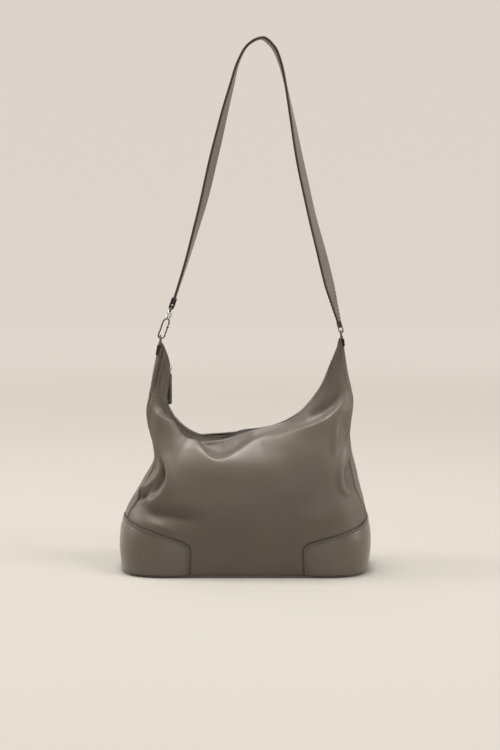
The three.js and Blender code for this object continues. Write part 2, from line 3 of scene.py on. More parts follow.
import logging
import math
from dataclasses import dataclass, field
from enum import Enum
from typing import Callable, Sequence

import bmesh
import bpy
import numpy as np
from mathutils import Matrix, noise

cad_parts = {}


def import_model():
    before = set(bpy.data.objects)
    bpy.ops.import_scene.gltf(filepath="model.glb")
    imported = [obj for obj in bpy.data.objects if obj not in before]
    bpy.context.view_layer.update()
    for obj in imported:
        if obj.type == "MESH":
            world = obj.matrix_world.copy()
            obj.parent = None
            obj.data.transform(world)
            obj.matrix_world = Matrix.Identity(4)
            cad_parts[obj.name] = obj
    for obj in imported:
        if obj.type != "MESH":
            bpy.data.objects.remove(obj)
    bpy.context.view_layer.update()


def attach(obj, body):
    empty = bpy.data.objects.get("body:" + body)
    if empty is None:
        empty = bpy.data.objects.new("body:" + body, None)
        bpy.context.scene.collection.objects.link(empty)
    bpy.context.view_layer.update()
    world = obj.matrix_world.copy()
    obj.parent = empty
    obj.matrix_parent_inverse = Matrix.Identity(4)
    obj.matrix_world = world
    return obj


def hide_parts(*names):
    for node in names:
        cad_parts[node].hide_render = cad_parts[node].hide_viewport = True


MM = 0.001
LOG = logging.getLogger("hobo_bag")
Array = np.ndarray
Pair = tuple[float, float]
Triple = tuple[float, float, float]

# The skin's ribs, in millimetres: from the middle of the right end round the front to the middle
# of the left end, and each from the base up to the mouth.
RIBS: tuple[tuple[Triple, ...], ...] = (
    ((179, 0, 3.4), (183, 0, 42), (178, 0, 88), (167, 0, 134), (155, 0, 190), (153, 0, 255), (142, 0, 342)),
    ((176, -38, 3.4), (180, -38, 42), (175, -36, 87), (158, -34, 130), (150, -26, 188), (152, -10, 254),
     (141, -4, 340)),
    ((160, -64, 3.4), (162, -65, 42), (158, -61, 87), (149, -54, 130), (142, -41, 186), (141, -21, 248),
     (136, -7, 331)),
    ((127, -75, 3.4), (129, -78, 42), (128, -77, 87), (127, -69, 130), (126, -51, 184), (127, -26, 240),
     (124, -9, 302)),
    ((85, -75, 3.4), (86, -79, 42), (88, -80, 87), (92, -76, 130), (98, -62, 177), (104, -34, 220),
     (109, -10, 268)),
    ((42, -75, 3.4), (43, -79, 42), (45, -81, 87), (48, -78, 128), (54, -63, 170), (60, -38, 200),
     (68, -12, 223)),
    ((0, -75, 3.4), (0, -79, 42), (0, -82, 87), (1, -77, 125), (4, -64, 160), (7, -40, 186), (10, -14, 205)),
    ((-45, -75, 3.4), (-45, -79, 42), (-46, -81, 87), (-46, -75, 122), (-46, -62, 152), (-45, -39, 175),
     (-43, -14, 190)),
    ((-90, -75, 3.4), (-90, -78, 42), (-90, -77, 87), (-90, -69, 125), (-90, -54, 157), (-90, -34, 178),
     (-88, -12, 193)),
    ((-127, -75, 3.4), (-129, -77, 42), (-127, -70, 86), (-118, -58, 128), (-113, -43, 166),
     (-114, -26, 200), (-113, -10, 233)),
    ((-160, -64, 3.4), (-162, -64, 42), (-154, -57, 85), (-134, -46, 127), (-123, -34, 168),
     (-127, -20, 216), (-109.5, -8, 294)),
    ((-176, -38, 3.4), (-179, -38, 42), (-169, -36, 84), (-146, -31, 126), (-129.5, -24, 170),
     (-138.5, -10, 232), (-118.5, -5, 327)),
    ((-179, 0, 3.4), (-183, 0, 42), (-176, 0, 85), (-151, 0, 130), (-131.5, 0, 172), (-140.5, 0, 240),
     (-125, 0, 334)),
)
# How much higher the back's mouth edge stands, by rib, in millimetres.
BACK_RISE: dict[int, float] = {2: -2, 3: -4, 4: -5, 5: -4, 6: -2, 7: 7, 8: 6, 9: 1}
LAST_RIB = len(RIBS) - 1
LAST_ROW = len(RIBS[0]) - 1
SEAM = 1 / LAST_RIB  # the gussets' seams run along the second rib from each end

LEFT_RING = np.array((-123.4, 0, 333.8)) * MM
RIGHT_RING = np.array((140.5, 0, 343)) * MM
EYE_BAR = np.array((-107, 0, 385)) * MM
HOOK_LEAN = math.radians(19.7)
HOOK_TURN = math.radians(45)


class Side(Enum):
    """The bag's two ends."""

    RIGHT = 1
    LEFT = -1


class Face(Enum):
    """The bag's two big faces."""

    FRONT = -1
    BACK = 1


# ------------------------------------------------------------------ nodes


class Sock:
    """A node's output. Arithmetic on it adds Math nodes."""

    def __init__(self, graph: "Graph", socket: bpy.types.NodeSocket) -> None:
        """Wraps one output socket of a graph."""
        self.graph = graph
        self.socket = socket

    def _math(self, operation: str, first: object, second: object) -> "Sock":
        """Adds one Math node and returns its value."""
        return self.graph.node("ShaderNodeMath", {"operation": operation}, {0: first, 1: second})[0]

    def __add__(self, other: object) -> "Sock":
        """This value plus another."""
        return self._math("ADD", self, other)

    def __sub__(self, other: object) -> "Sock":
        """This value less another."""
        return self._math("SUBTRACT", self, other)

    def __rsub__(self, other: object) -> "Sock":
        """A number less this value."""
        return self._math("SUBTRACT", other, self)

    def __mul__(self, other: object) -> "Sock":
        """This value times another."""
        return self._math("MULTIPLY", self, other)

    def __truediv__(self, other: object) -> "Sock":
        """This value over another."""
        return self._math("DIVIDE", self, other)

    def __pow__(self, other: object) -> "Sock":
        """This value to a power."""
        return self._math("POWER", self, other)

    __radd__ = __add__
    __rmul__ = __mul__


class Made:
    """A node that was added to a graph. Indexing it gives its outputs."""

    def __init__(self, graph: "Graph", node: bpy.types.Node) -> None:
        """Wraps one node of a graph."""
        self.graph = graph
        self.node = node

    def __getitem__(self, key: int | str) -> Sock:
        """The output of that name or place."""
        return Sock(self.graph, self.node.outputs[key])


class Graph:
    """A node tree that is being built."""

    def __init__(self, tree: bpy.types.NodeTree) -> None:
        """Starts on an empty tree."""
        self.tree = tree

    def node(
        self,
        kind: str,
        settings: dict[str, object] | None = None,
        inputs: dict[int | str, object] | None = None,
    ) -> Made:
        """Adds one node.

        Args:
            kind: The node's type.
            settings: Its properties, set before its sockets.
            inputs: A value or a Sock for each named or numbered input.

        Returns:
            The node, whose outputs are read by index or name.
        """
        made = self.tree.nodes.new(kind)
        for key, value in (settings or {}).items():
            setattr(made, key, value)
        for key, value in (inputs or {}).items():
            if isinstance(value, Sock):
                self.tree.links.new(value.socket, made.inputs[key])
            else:
                made.inputs[key].default_value = value
        return Made(self, made)

    def mix(self, factor: object, first: object, second: object) -> Sock:
        """Mixes two colours by a factor."""
        made = self.node(
            "ShaderNodeMix",
            {"data_type": "RGBA", "clamp_factor": True},
            {0: factor, 6: first, 7: second},
        )
        return made[2]

    def place(self) -> Sock:
        """The shaded point's place in the piece's own axes."""
        return self.node("ShaderNodeTexCoord")["Object"]

    def noise(self, where: Sock, scale: float, detail: float = 3.0, roughness: float = 0.5) -> Sock:
        """A noise value from 0 to 1 at a place."""
        settings = {"Vector": where, "Scale": scale, "Detail": detail, "Roughness": roughness}
        return self.node("ShaderNodeTexNoise", None, settings)["Fac"]

    def feed(self, node: bpy.types.Node, socket: str, value: Sock) -> None:
        """Links a value to one of a node's inputs."""
        self.tree.links.new(value.socket, node.inputs[socket])

    def bump(self, shader: bpy.types.Node, height: Sock, depth_mm: float, strength: float) -> None:
        """Gives a shader's normal a bump of some depth."""
        settings = {"Strength": strength, "Distance": depth_mm * MM, "Height": height}
        self.feed(shader, "Normal", self.node("ShaderNodeBump", None, settings)["Normal"])

    def attribute(self, name: str) -> Sock:
        """A number that the mesh holds for each point, 0 where it has none."""
        return self.node("ShaderNodeAttribute", {"attribute_name": name})["Fac"]


def shade(colour: Triple, factor: float) -> tuple[float, float, float, float]:
    """A colour made lighter or darker, with an alpha of 1."""
    return (colour[0] * factor, colour[1] * factor, colour[2] * factor, 1.0)


def new_surface(name: str) -> tuple[Graph, bpy.types.Node]:
    """Starts a material of that name.

    Returns:
        Its graph and its shader node.
    """
    material = bpy.data.materials.new(name)
    material.use_nodes = True
    tree = material.node_tree
    tree.nodes.clear()
    graph = Graph(tree)
    shader = graph.node("ShaderNodeBsdfPrincipled")
    graph.node("ShaderNodeOutputMaterial", None, {"Surface": shader["BSDF"]})
    return graph, shader.node


# ------------------------------------------------------------------ finishes


@dataclass(frozen=True)
class Finish:
    """The look of one material. Its nodes are laid when it is first used."""

    name: str
    colour: Triple

    def material(self) -> bpy.types.Material:
        """The finish as a material."""
        if self.name not in bpy.data.materials:
            graph, shader = new_surface(self.name)
            self.lay(graph, shader, graph.place())
        return bpy.data.materials[self.name]

    def lay(self, g: Graph, shader: bpy.types.Node, where: Sock) -> None:
        """Adds the finish's own nodes before its shader, from a place in the piece's axes."""
        raise NotImplementedError


@dataclass(frozen=True)
class Leather(Finish):
    """Smooth calf leather: cloudy dye, fine grain, painted highlight on ridges with painted shade in
    hollows, and dark rubbed edges with painted shade in the seams' grooves.
    """

    roughness: float = 0.5
    cloud: float = 0.55
    grain_mm: float = 0.9
    grain_depth_mm: float = 0.035
    coat: float = 0.06
    sheen: float = 0.12
    # the dark colour of rubbed cut edges, also used for painted shade in grooves
    edge: Triple = (0.03, 0.02, 0.014)

    def lay(self, g: Graph, shader: bpy.types.Node, where: Sock) -> None:
        """Adds the finish's own nodes before its shader, from a place in the piece's axes."""
        cloud = g.noise(where, 16.0)
        fleck = g.noise(where, 260.0, 2.0, 0.6)
        cells = g.node(
            "ShaderNodeTexVoronoi",
            {"feature": "DISTANCE_TO_EDGE"},
            {"Vector": where, "Scale": 1000.0 / self.grain_mm, "Randomness": 0.9},
        )["Distance"]
        pores = g.noise(where, 1800.0, 2.0, 0.6)
        painted_relief_light = g.attribute("painted_relief_light")
        wear_and_shade = g.attribute("wear_and_shade")
        # the relief lifts the colour on ridges and lowers it in hollows: painted highlight and painted shade
        tone = 0.5 + (cloud - 0.5) * self.cloud + (fleck - 0.5) * 0.12 + painted_relief_light * 0.55
        dye_and_relief_light = g.mix(tone, shade(self.colour, 0.78), shade(self.colour, 1.25))
        # darkens towards the edge colour where the mesh says: rubbed cut edges, and painted shade in grooves
        # and beside the boots
        rubbed_and_shaded = g.mix(wear_and_shade, dye_and_relief_light, (*self.edge, 1.0))
        g.feed(shader, "Base Color", rubbed_and_shaded)
        rough = self.roughness + (cloud - 0.5) * 0.1 + (fleck - 0.5) * 0.05 - painted_relief_light * 0.06
        g.feed(shader, "Roughness", rough)
        g.bump(shader, cells * 0.7 + pores * 0.45, self.grain_depth_mm, 0.8)
        shader.inputs["Coat Weight"].default_value = self.coat
        shader.inputs["Coat Roughness"].default_value = 0.32
        shader.inputs["Sheen Weight"].default_value = self.sheen
        shader.inputs["Sheen Roughness"].default_value = 0.5
        shader.inputs["Specular IOR Level"].default_value = 0.5


@dataclass(frozen=True)
class Paint(Finish):
    """Edge paint or waxed thread: one dark colour that varies a little."""

    roughness: float = 0.42
    scale: float = 420.0

    def lay(self, g: Graph, shader: bpy.types.Node, where: Sock) -> None:
        """Adds the finish's own nodes before its shader, from a place in the piece's axes."""
        grain = g.noise(where, self.scale)
        g.feed(shader, "Base Color", g.mix(grain, shade(self.colour, 0.75), shade(self.colour, 1.3)))
        g.feed(shader, "Roughness", self.roughness + (grain - 0.5) * 0.2)
        g.bump(shader, grain, 0.04, 0.5)


@dataclass(frozen=True)
class Weave(Finish):
    """Woven cloth on the piece's own UV map, which is in metres."""

    pitch_mm: float = 0.7
    rib: float = 1.0
    roughness: float = 0.85

    def lay(self, g: Graph, shader: bpy.types.Node, where: Sock) -> None:
        """Adds the finish's own nodes before its shader, from a place in the piece's axes."""
        cloth = g.node("ShaderNodeUVMap", {"uv_map": "cloth"})["UV"]
        split = g.node("ShaderNodeSeparateXYZ", None, {0: cloth})
        turn = 2 * math.pi / (self.pitch_mm * MM)
        warp = self._sine(g, split[0] * turn)
        weft = self._sine(g, split[1] * (turn * self.rib))
        over = warp * 0.5 + weft * 0.5
        slub = g.noise(where, 160.0)
        tone = over * 0.6 + slub * 0.5
        g.feed(shader, "Base Color", g.mix(tone, shade(self.colour, 0.65), shade(self.colour, 1.3)))
        g.feed(shader, "Roughness", self.roughness + (slub - 0.5) * 0.2)
        g.bump(shader, over, 0.12, 0.7)
        shader.inputs["Sheen Weight"].default_value = 0.2

    @staticmethod
    def _sine(graph: Graph, angle: Sock) -> Sock:
        """A wave from 0 to 1."""
        wave = graph.node("ShaderNodeMath", {"operation": "SINE"}, {0: angle})[0]
        return wave * 0.5 + 0.5


@dataclass(frozen=True)
class Metal(Finish):
    """Plated metal with faint brushing and softly worn spots."""

    roughness: float = 0.24

    def lay(self, g: Graph, shader: bpy.types.Node, where: Sock) -> None:
        """Adds the finish's own nodes before its shader, from a place in the piece's axes."""
        brush = (900.0, 900.0, 120.0)
        stretch = g.node("ShaderNodeMapping", None, {"Vector": where, "Scale": brush})["Vector"]
        brushed = g.noise(stretch, 1.0)
        worn = g.noise(where, 240.0)
        g.feed(shader, "Base Color", g.mix(worn, shade(self.colour, 0.82), shade(self.colour, 1.15)))
        g.feed(shader, "Roughness", self.roughness + (brushed - 0.5) * 0.16 + (worn - 0.5) * 0.12)
        g.bump(shader, brushed, 0.01, 0.25)
        shader.inputs["Metallic"].default_value = 1.0


TAUPE = Leather("taupe_calf", (0.090, 0.070, 0.052), coat=0.12, sheen=0.08)
BOOT = Leather("boot_calf", (0.086, 0.067, 0.049), roughness=0.38, cloud=0.4, coat=0.6, sheen=0.04)
STRAP = Leather("strap_calf", (0.125, 0.102, 0.085), roughness=0.48, cloud=0.4)
BLACK = Leather("black_calf", (0.006, 0.005, 0.0045), roughness=0.55, cloud=0.3, coat=0.0, sheen=0.0)
EDGE = Paint("edge_paint", (0.022, 0.014, 0.010))
THREAD = Paint("waxed_thread", (0.062, 0.036, 0.021), roughness=0.6, scale=1500.0)
LINING = Weave("lining_twill", (0.16, 0.12, 0.09))
TAPE = Weave("tape_weave", (0.115, 0.094, 0.074), pitch_mm=0.9, rib=0.5)
BOARD = Paint("pressed_board", (0.16, 0.15, 0.14), roughness=0.8, scale=90.0)
DARK_NICKEL = Metal("dark_plating", (0.10, 0.09, 0.082), 0.3)
PALE_NICKEL = Metal("pale_plating", (0.62, 0.6, 0.57), 0.24)
# a darker copy of the pale plating for the zip's teeth: painted shade for the dark line along the zip
SHADED_NICKEL = Metal("shaded_plating", (0.34, 0.31, 0.275), 0.34)


# ------------------------------------------------------------------ mesh helpers


def spline_weights(t: Array) -> Array:
    """Catmull-Rom weights of four neighbours, along a new last axis."""
    square = t * t
    cube = square * t
    return np.stack(
        [
            -0.5 * cube + square - 0.5 * t,
            1.5 * cube - 2.5 * square + 1,
            -1.5 * cube + 2 * square + 0.5 * t,
            0.5 * cube - 0.5 * square,
        ],
        -1,
    )


def smoothstep(low: float, high: float, value: Array | float) -> Array:
    """0 at low, 1 at high, smooth between them and flat beyond."""
    t = np.clip((np.asarray(value, float) - low) / (high - low), 0, 1)
    return t * t * (3 - 2 * t)


def leaning(angle: float) -> Array:
    """The turn about Y that leans Z towards X by an angle, as a matrix."""
    c, s = math.cos(angle), math.sin(angle)
    return np.array([[c, 0, s], [0, 1, 0], [-s, 0, c]])


class Path:
    """A centripetal Catmull-Rom curve, read by its share of length."""

    def __init__(self, points: Sequence[Sequence[float]], closed: bool = False, fine: int = 24) -> None:
        """Samples the curve.

        Args:
            points: Its points, in metres.
            closed: Whether it returns to its first point.
            fine: Samples between two neighbouring points.
        """
        p = np.array(points, float)
        if closed:
            ends = np.concatenate([p[-1:], p, p[:2]])
        else:
            ends = np.concatenate([2 * p[:1] - p[1:2], p, 2 * p[-1:] - p[-2:-1]])
        pieces = [self._span(ends[i : i + 4], fine) for i in range(len(ends) - 3)]
        self.closed = closed
        self.samples = np.concatenate([*pieces, ends[-2:-1]])
        steps = np.linalg.norm(np.diff(self.samples, axis=0), axis=1)
        self.lengths = np.concatenate([[0], np.cumsum(steps)])
        self.length = float(self.lengths[-1])

    @staticmethod
    def _span(p: Array, fine: int) -> Array:
        """Samples between the middle two of four points."""
        gaps = [max(float(np.linalg.norm(p[k + 1] - p[k])) ** 0.5, 1e-6) for k in range(3)]
        knots = np.concatenate([[0], np.cumsum(gaps)])
        t = np.linspace(knots[1], knots[2], fine, endpoint=False)[:, None]

        def lerp(a: Array, b: Array, low: float, high: float) -> Array:
            """Straight mix of a at low and b at high."""
            return (high - t) / (high - low) * a + (t - low) / (high - low) * b

        first = [lerp(p[k], p[k + 1], knots[k], knots[k + 1]) for k in range(3)]
        second = [lerp(first[k], first[k + 1], knots[k], knots[k + 2]) for k in range(2)]
        return lerp(second[0], second[1], knots[1], knots[2])

    def at(self, share: Array | float) -> Array:
        """Points at these shares of the length."""
        s = np.asarray(share, float) * self.length
        return np.stack([np.interp(s, self.lengths, self.samples[:, k]) for k in range(3)], -1)

    def tangent(self, share: Array | float) -> Array:
        """Unit tangents at these shares of the length."""
        s = np.asarray(share, float)
        step = self.at(np.clip(s + 0.004, 0, 1)) - self.at(np.clip(s - 0.004, 0, 1))
        return step / np.linalg.norm(step, axis=-1, keepdims=True)

    def even(self, spacing: float) -> Array:
        """Points about this far apart along the whole curve."""
        count = max(2, round(self.length / spacing))
        shares = np.linspace(0, 1, count + (0 if self.closed else 1), endpoint=not self.closed)
        return self.at(shares)


def new_object(name: str, points: Array, faces: Sequence[Sequence[int]]) -> bpy.types.Object:
    """Makes a mesh object at the origin and links it to the scene."""
    mesh = bpy.data.meshes.new(name)
    mesh.from_pydata(np.asarray(points, float).tolist(), [], [list(f) for f in faces])
    mesh.update()
    made = bpy.data.objects.new(name, mesh)
    bpy.context.scene.collection.objects.link(made)
    return made


def baked(piece: bpy.types.Object) -> bpy.types.Object:
    """Turns a piece with its modifiers into a plain mesh."""
    bpy.context.view_layer.update()
    graph = bpy.context.evaluated_depsgraph_get()
    mesh = bpy.data.meshes.new_from_object(piece.evaluated_get(graph))
    mesh.name = piece.name
    old = piece.data
    piece.modifiers.clear()
    piece.data = mesh
    bpy.data.meshes.remove(old)
    return piece


def smooth(piece: bpy.types.Object, angle: float = 40) -> bpy.types.Object:
    """Shades a piece smooth, with creases over that many degrees left sharp."""
    piece.data.polygons.foreach_set("use_smooth", [True] * len(piece.data.polygons))
    piece.data.set_sharp_from_angle(angle=math.radians(angle))
    return piece


def bevelled(
    piece: bpy.types.Object, width: float, segments: int = 2, angle: float = 40
) -> bpy.types.Object:
    """Rounds a piece's sharp edges and bakes the result."""
    bevel = piece.modifiers.new("round", "BEVEL")
    bevel.width = width
    bevel.segments = segments
    bevel.limit_method = "ANGLE"
    bevel.angle_limit = math.radians(angle)
    bevel.harden_normals = False
    return smooth(baked(piece), 60)


def dressed(piece: bpy.types.Object, *finishes: Finish) -> bpy.types.Object:
    """Gives a piece its finishes, in the order of its material slots."""
    for finish in finishes:
        piece.data.materials.append(finish.material())
    return piece


def placed(piece: bpy.types.Object, body: str, slot: str, *nodes: str) -> bpy.types.Object:
    """Hands a finished piece to the frame.

    Args:
        piece: The piece, at the origin.
        body: The body that it moves with.
        slot: The frame's material slot; not used.
        nodes: The frame's nodes that it stands for.

    Returns:
        The piece.
    """
    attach(piece, body)
    if nodes:
        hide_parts(*nodes)
    triangles = sum(len(p.vertices) - 2 for p in piece.data.polygons)
    LOG.info("%s on %s, %d triangles", piece.name, body, triangles)
    return piece


def set_points(piece: bpy.types.Object, name: str, values: Array) -> None:
    """Stores a number for each of a piece's points."""
    attribute = piece.data.attributes.new(name, "FLOAT", "POINT")
    attribute.data.foreach_set("value", np.asarray(values, np.float32).ravel())


def shell(
    name: str,
    outer: Array,
    inner: Array,
    wrap: bool = False,
    painted_relief_light: Array | None = None,
    wear_and_shade: Array | None = None,
) -> bpy.types.Object:
    """Makes a thick sheet from two grids of points.

    Args:
        name: The piece's name.
        outer: The outer grid, n by m by 3.
        inner: The inner grid, of the same shape.
        wrap: Whether the first index closes on itself.
        painted_relief_light: How far each outer point stands on a ridge, or lies in a hollow, which the
            leather shows as painted highlight and painted shade.
        wear_and_shade: How dark each outer point is made: rubbed at cut edges, and painted shade in grooves
            and along the boots.

    Returns:
        The object. Its border faces use material slot 1.
    """
    n, m = outer.shape[:2]
    points = np.concatenate([outer.reshape(-1, 3), inner.reshape(-1, 3)])
    rows = n if wrap else n - 1
    i, j = np.meshgrid(np.arange(rows), np.arange(m - 1), indexing="ij")
    i, j = i.ravel(), j.ravel()
    k = (i + 1) % n
    quads = np.stack([i * m + j, k * m + j, k * m + j + 1, i * m + j + 1], 1)
    a, b, c = points[quads[:, 0]], points[quads[:, 1]], points[quads[:, 3]]
    lift = (outer - inner).reshape(-1, 3)[quads[:, 0]]
    if np.sum(np.cross(b - a, c - a) * lift) < 0:
        quads = quads[:, ::-1]
        turned = True
    else:
        turned = False
    count = n * m
    back = quads[:, ::-1] + count
    borders: list[list[int]] = []

    def border(line: list[int]) -> None:
        """Joins the two grids along one run of border points."""
        for first, second in zip(line[:-1], line[1:]):
            face = [first, second, second + count, first + count]
            borders.append(face if turned else face[::-1])

    loop = list(range(n)) + ([0] if wrap else [])
    border([x * m for x in loop])
    border([x * m + m - 1 for x in loop][::-1])
    if not wrap:
        border(list(range(m))[::-1])
        border([(n - 1) * m + x for x in range(m)])
    made = new_object(name, points, [*quads.tolist(), *back.tolist(), *borders])
    slots = np.zeros(len(made.data.polygons), np.int32)
    slots[len(quads) * 2 :] = 1
    made.data.polygons.foreach_set("material_index", slots)
    for key, values in (("painted_relief_light", painted_relief_light), ("wear_and_shade", wear_and_shade)):
        if values is not None:
            flat = np.asarray(values, float).ravel()
            set_points(made, key, np.concatenate([flat, np.zeros(count)]))
    return made


def lathe(
    name: str, profile: Sequence[Pair], segments: int = 32, place: Callable[[Array], Array] | None = None
) -> bpy.types.Object:
    """Turns a profile round the local Z axis.

    Args:
        name: The piece's name.
        profile: Radius and height pairs in millimetres, from the axis back to the axis.
        segments: Steps of the turn.
        place: Where the local points go.

    Returns:
        The object, with its faces outwards.
    """
    angles = np.linspace(0, 2 * math.pi, segments, endpoint=False)
    rings = np.array(profile, float) * MM
    points = [np.array([0, 0, rings[0, 1]])]
    for radius, height in rings[1:-1]:
        points += [np.array([radius * math.cos(a), radius * math.sin(a), height]) for a in angles]
    points.append(np.array([0, 0, rings[-1, 1]]))
    faces: list[list[int]] = []
    last = len(points) - 1
    for s in range(segments):
        t = (s + 1) % segments
        faces.append([0, 1 + s, 1 + t])
        for r in range(len(rings) - 3):
            low, high = 1 + r * segments, 1 + (r + 1) * segments
            faces.append([low + s, high + s, high + t, low + t])
        final = 1 + (len(rings) - 3) * segments
        faces.append([final + s, last, final + t])
    grid = np.array(points)
    made = new_object(name, place(grid) if place else grid, faces)
    outwards(made)
    return smooth(made, 35)


def outwards(piece: bpy.types.Object) -> None:
    """Turns the faces of a closed piece outwards."""
    mesh = bmesh.new()
    mesh.from_mesh(piece.data)
    bmesh.ops.remove_doubles(mesh, verts=mesh.verts, dist=1e-7)
    bmesh.ops.recalc_face_normals(mesh, faces=mesh.faces)
    mesh.to_mesh(piece.data)
    mesh.free()


def joined(name: str, pieces: Sequence[bpy.types.Object]) -> bpy.types.Object:
    """Joins several pieces with the same material slots into one."""
    with bpy.context.temp_override(
        active_object=pieces[0], object=pieces[0], selected_objects=list(pieces),
        selected_editable_objects=list(pieces),
    ):
        bpy.ops.object.join()
    pieces[0].name = name
    pieces[0].data.name = name
    return pieces[0]


def squared(across: Triple, tangent: Array) -> tuple[Array, Array]:
    """Unit directions across a band and out of its face, both square to its path."""
    wide = np.array(across, float)
    wide = wide - tangent * (wide @ tangent)
    wide /= np.linalg.norm(wide)
    return wide, np.cross(tangent, wide)


@dataclass
class Band:
    """A flat leather band along a path, with rounded edges that may be painted."""

    name: str
    path: Path
    width: float
    thick: float
    steps: int
    across: Callable[[float], Triple] = lambda t: (0.0, 1.0, 0.0)
    narrow: Callable[[float], float] = lambda t: 1.0
    lift: Callable[[float, float], float] = lambda t, s: 0.0
    crown: float = 0.12

    def _section(self, width: float) -> tuple[list[Pair], int]:
        """The outline of a cut across the band, and how many points its face has."""
        half, flat = self.thick / 2, width / 2 - self.thick / 2
        face = [(flat * s, half * (1 + self.crown * (1 - s * s))) for s in np.linspace(1, -1, 9)]
        edge = [
            (-flat - half * math.sin(a), half * math.cos(a)) for a in np.linspace(0, math.pi, 6)[1:-1]
        ]
        side = face + edge
        return side + [(-x, -y) for x, y in side], len(face)

    def build(self) -> bpy.types.Object:
        """Makes the band, with material slot 1 on its edges."""
        shares = np.linspace(0, 1, self.steps + 1)
        centres, tangents = self.path.at(shares), self.path.tangent(shares)
        rings: list[Array] = []
        count = 0
        for t, centre, tangent in zip(shares, centres, tangents):
            wide, face = squared(self.across(float(t)), tangent)
            outline, count = self._section(self.width * self.narrow(float(t)))
            ring = [centre + wide * x + face * (y + self.lift(float(t), x / self.width)) for x, y in outline]
            rings.append(np.array(ring))
        around = len(rings[0])
        half = around // 2
        faces: list[list[int]] = []
        slots: list[int] = []
        for r in range(self.steps):
            for s in range(around):
                t = (s + 1) % around
                faces.append([r * around + s, r * around + t, (r + 1) * around + t, (r + 1) * around + s])
                slots.append(0 if s % half < count - 1 else 1)
        faces += [list(range(around))[::-1], [self.steps * around + s for s in range(around)]]
        slots += [1, 1]
        made = new_object(self.name, np.concatenate(rings), faces)
        made.data.polygons.foreach_set("material_index", slots)
        outwards(made)
        return smooth(made, 50)


# ------------------------------------------------------------------ node-built pieces


class AlongPath:
    """Things of one finish along a path, made by a geometry-node tree."""

    def __init__(self, name: str, numbers: Sequence[str]) -> None:
        """Starts the tree, whose inputs are a path, some numbers and a finish."""
        self.tree = bpy.data.node_groups.new(name, "GeometryNodeTree")
        kinds = {"Path": "Geometry", **dict.fromkeys(numbers, "Float"), "Finish": "Material"}
        self.keys: dict[str, str] = {}
        for key, kind in kinds.items():
            kind = f"NodeSocket{kind}"
            socket = self.tree.interface.new_socket(name=key, in_out="INPUT", socket_type=kind)
            self.keys[key] = socket.identifier
        self.tree.interface.new_socket(name="Made", in_out="OUTPUT", socket_type="NodeSocketGeometry")
        self.graph = Graph(self.tree)
        self.given = self.graph.node("NodeGroupInput")
        self.line = self.graph.node("GeometryNodeMeshToCurve", None, {"Mesh": self.given["Path"]})["Curve"]

    def spots(self) -> Made:
        """Points along the path, one pitch apart."""
        step = {"Curve": self.line, "Length": self.given["Pitch"]}
        even = self.graph.node("GeometryNodeResampleCurve", {"mode": "LENGTH"}, step)["Curve"]
        return self.graph.node("GeometryNodeCurveToPoints", {"mode": "EVALUATED"}, {"Curve": even})

    def end(self, geometry: Sock) -> None:
        """Gives the geometry its finish and ends the tree."""
        real = self.graph.node("GeometryNodeRealizeInstances", None, {"Geometry": geometry})["Geometry"]
        look = {"Geometry": real, "Material": self.given["Finish"]}
        done = self.graph.node("GeometryNodeSetMaterial", None, look)["Geometry"]
        self.graph.node("NodeGroupOutput", None, {"Made": done})

    def run(self, path: bpy.types.Object, finish: Finish, **numbers: float) -> bpy.types.Object:
        """Turns an object of loose edges into the things along it, as a plain mesh."""
        modifier = path.modifiers.new("along_path", "NODES")
        modifier.node_group = self.tree
        for key, value in numbers.items():
            modifier[self.keys[key]] = value
        modifier[self.keys["Finish"]] = finish.material()
        return baked(path)


class Wires(AlongPath):
    """Round wire along paths."""

    def __init__(self) -> None:
        """Builds the tree: a round section all along the path."""
        super().__init__("round_wire", ["Radius"])
        g = self.graph
        round_line = {"Resolution": 14, "Radius": self.given["Radius"]}
        ring = g.node("GeometryNodeCurvePrimitiveCircle", None, round_line)["Curve"]
        sweep = {"Curve": self.line, "Profile Curve": ring, "Fill Caps": True}
        self.end(g.node("GeometryNodeCurveToMesh", None, sweep)["Mesh"])

    def build(self, name: str, path: Path, radius: float, spacing: float, finish: Metal) -> bpy.types.Object:
        """Makes one wire.

        Args:
            name: The piece's name.
            path: The wire's centre line.
            radius: The wire's radius, in metres.
            spacing: How far apart its rings are.
            finish: Its finish.

        Returns:
            The object, as a plain mesh.
        """
        line = path_object(name, [path.even(spacing)], path.closed)
        made = self.run(line, finish, Radius=radius)
        outwards(made)
        return smooth(made, 50)


class Stitches(AlongPath):
    """Rows of stitches along paths."""

    def __init__(self) -> None:
        """Builds the tree: one slim bead on each evenly spaced point."""
        super().__init__("stitch_rows", ["Pitch", "Length", "Width"])
        g, given = self.graph, self.given
        spots = self.spots()
        bead = g.node("GeometryNodeMeshUVSphere", None, {"Segments": 6, "Rings": 4, "Radius": 0.5})["Mesh"]
        size = g.node(
            "ShaderNodeCombineXYZ", None, {0: given["Length"], 1: given["Width"], 2: given["Width"]}
        )["Vector"]
        thread = g.node("GeometryNodeTransform", None, {"Geometry": bead, "Scale": size})["Geometry"]
        soft = g.node("GeometryNodeSetShadeSmooth", None, {"Geometry": thread})["Geometry"]
        turn = g.node("FunctionNodeAlignRotationToVector", {"axis": "X"}, {"Vector": spots["Tangent"]})
        vary = g.node("FunctionNodeRandomValue", {"data_type": "FLOAT"}, {2: 0.92, 3: 1.06, "Seed": 11})
        put = g.node(
            "GeometryNodeInstanceOnPoints",
            None,
            {"Points": spots["Points"], "Instance": soft, "Rotation": turn["Rotation"], "Scale": vary[1]},
        )["Instances"]
        self.end(put)

    def build(
        self, name: str, lines: Sequence[Array], pitch_mm: float = 3.4, length_mm: float = 2.5,
        width_mm: float = 0.75,
    ) -> bpy.types.Object:
        """Makes rows of stitches.

        Args:
            name: The piece's name.
            lines: The rows, each a list of points on the leather.
            pitch_mm: From one stitch to the next.
            length_mm: A stitch's length.
            width_mm: The thread's thickness.

        Returns:
            The object, as a plain mesh.
        """
        path = path_object(name, lines, False)
        return self.run(path, THREAD, Pitch=pitch_mm * MM, Length=length_mm * MM, Width=width_mm * MM)


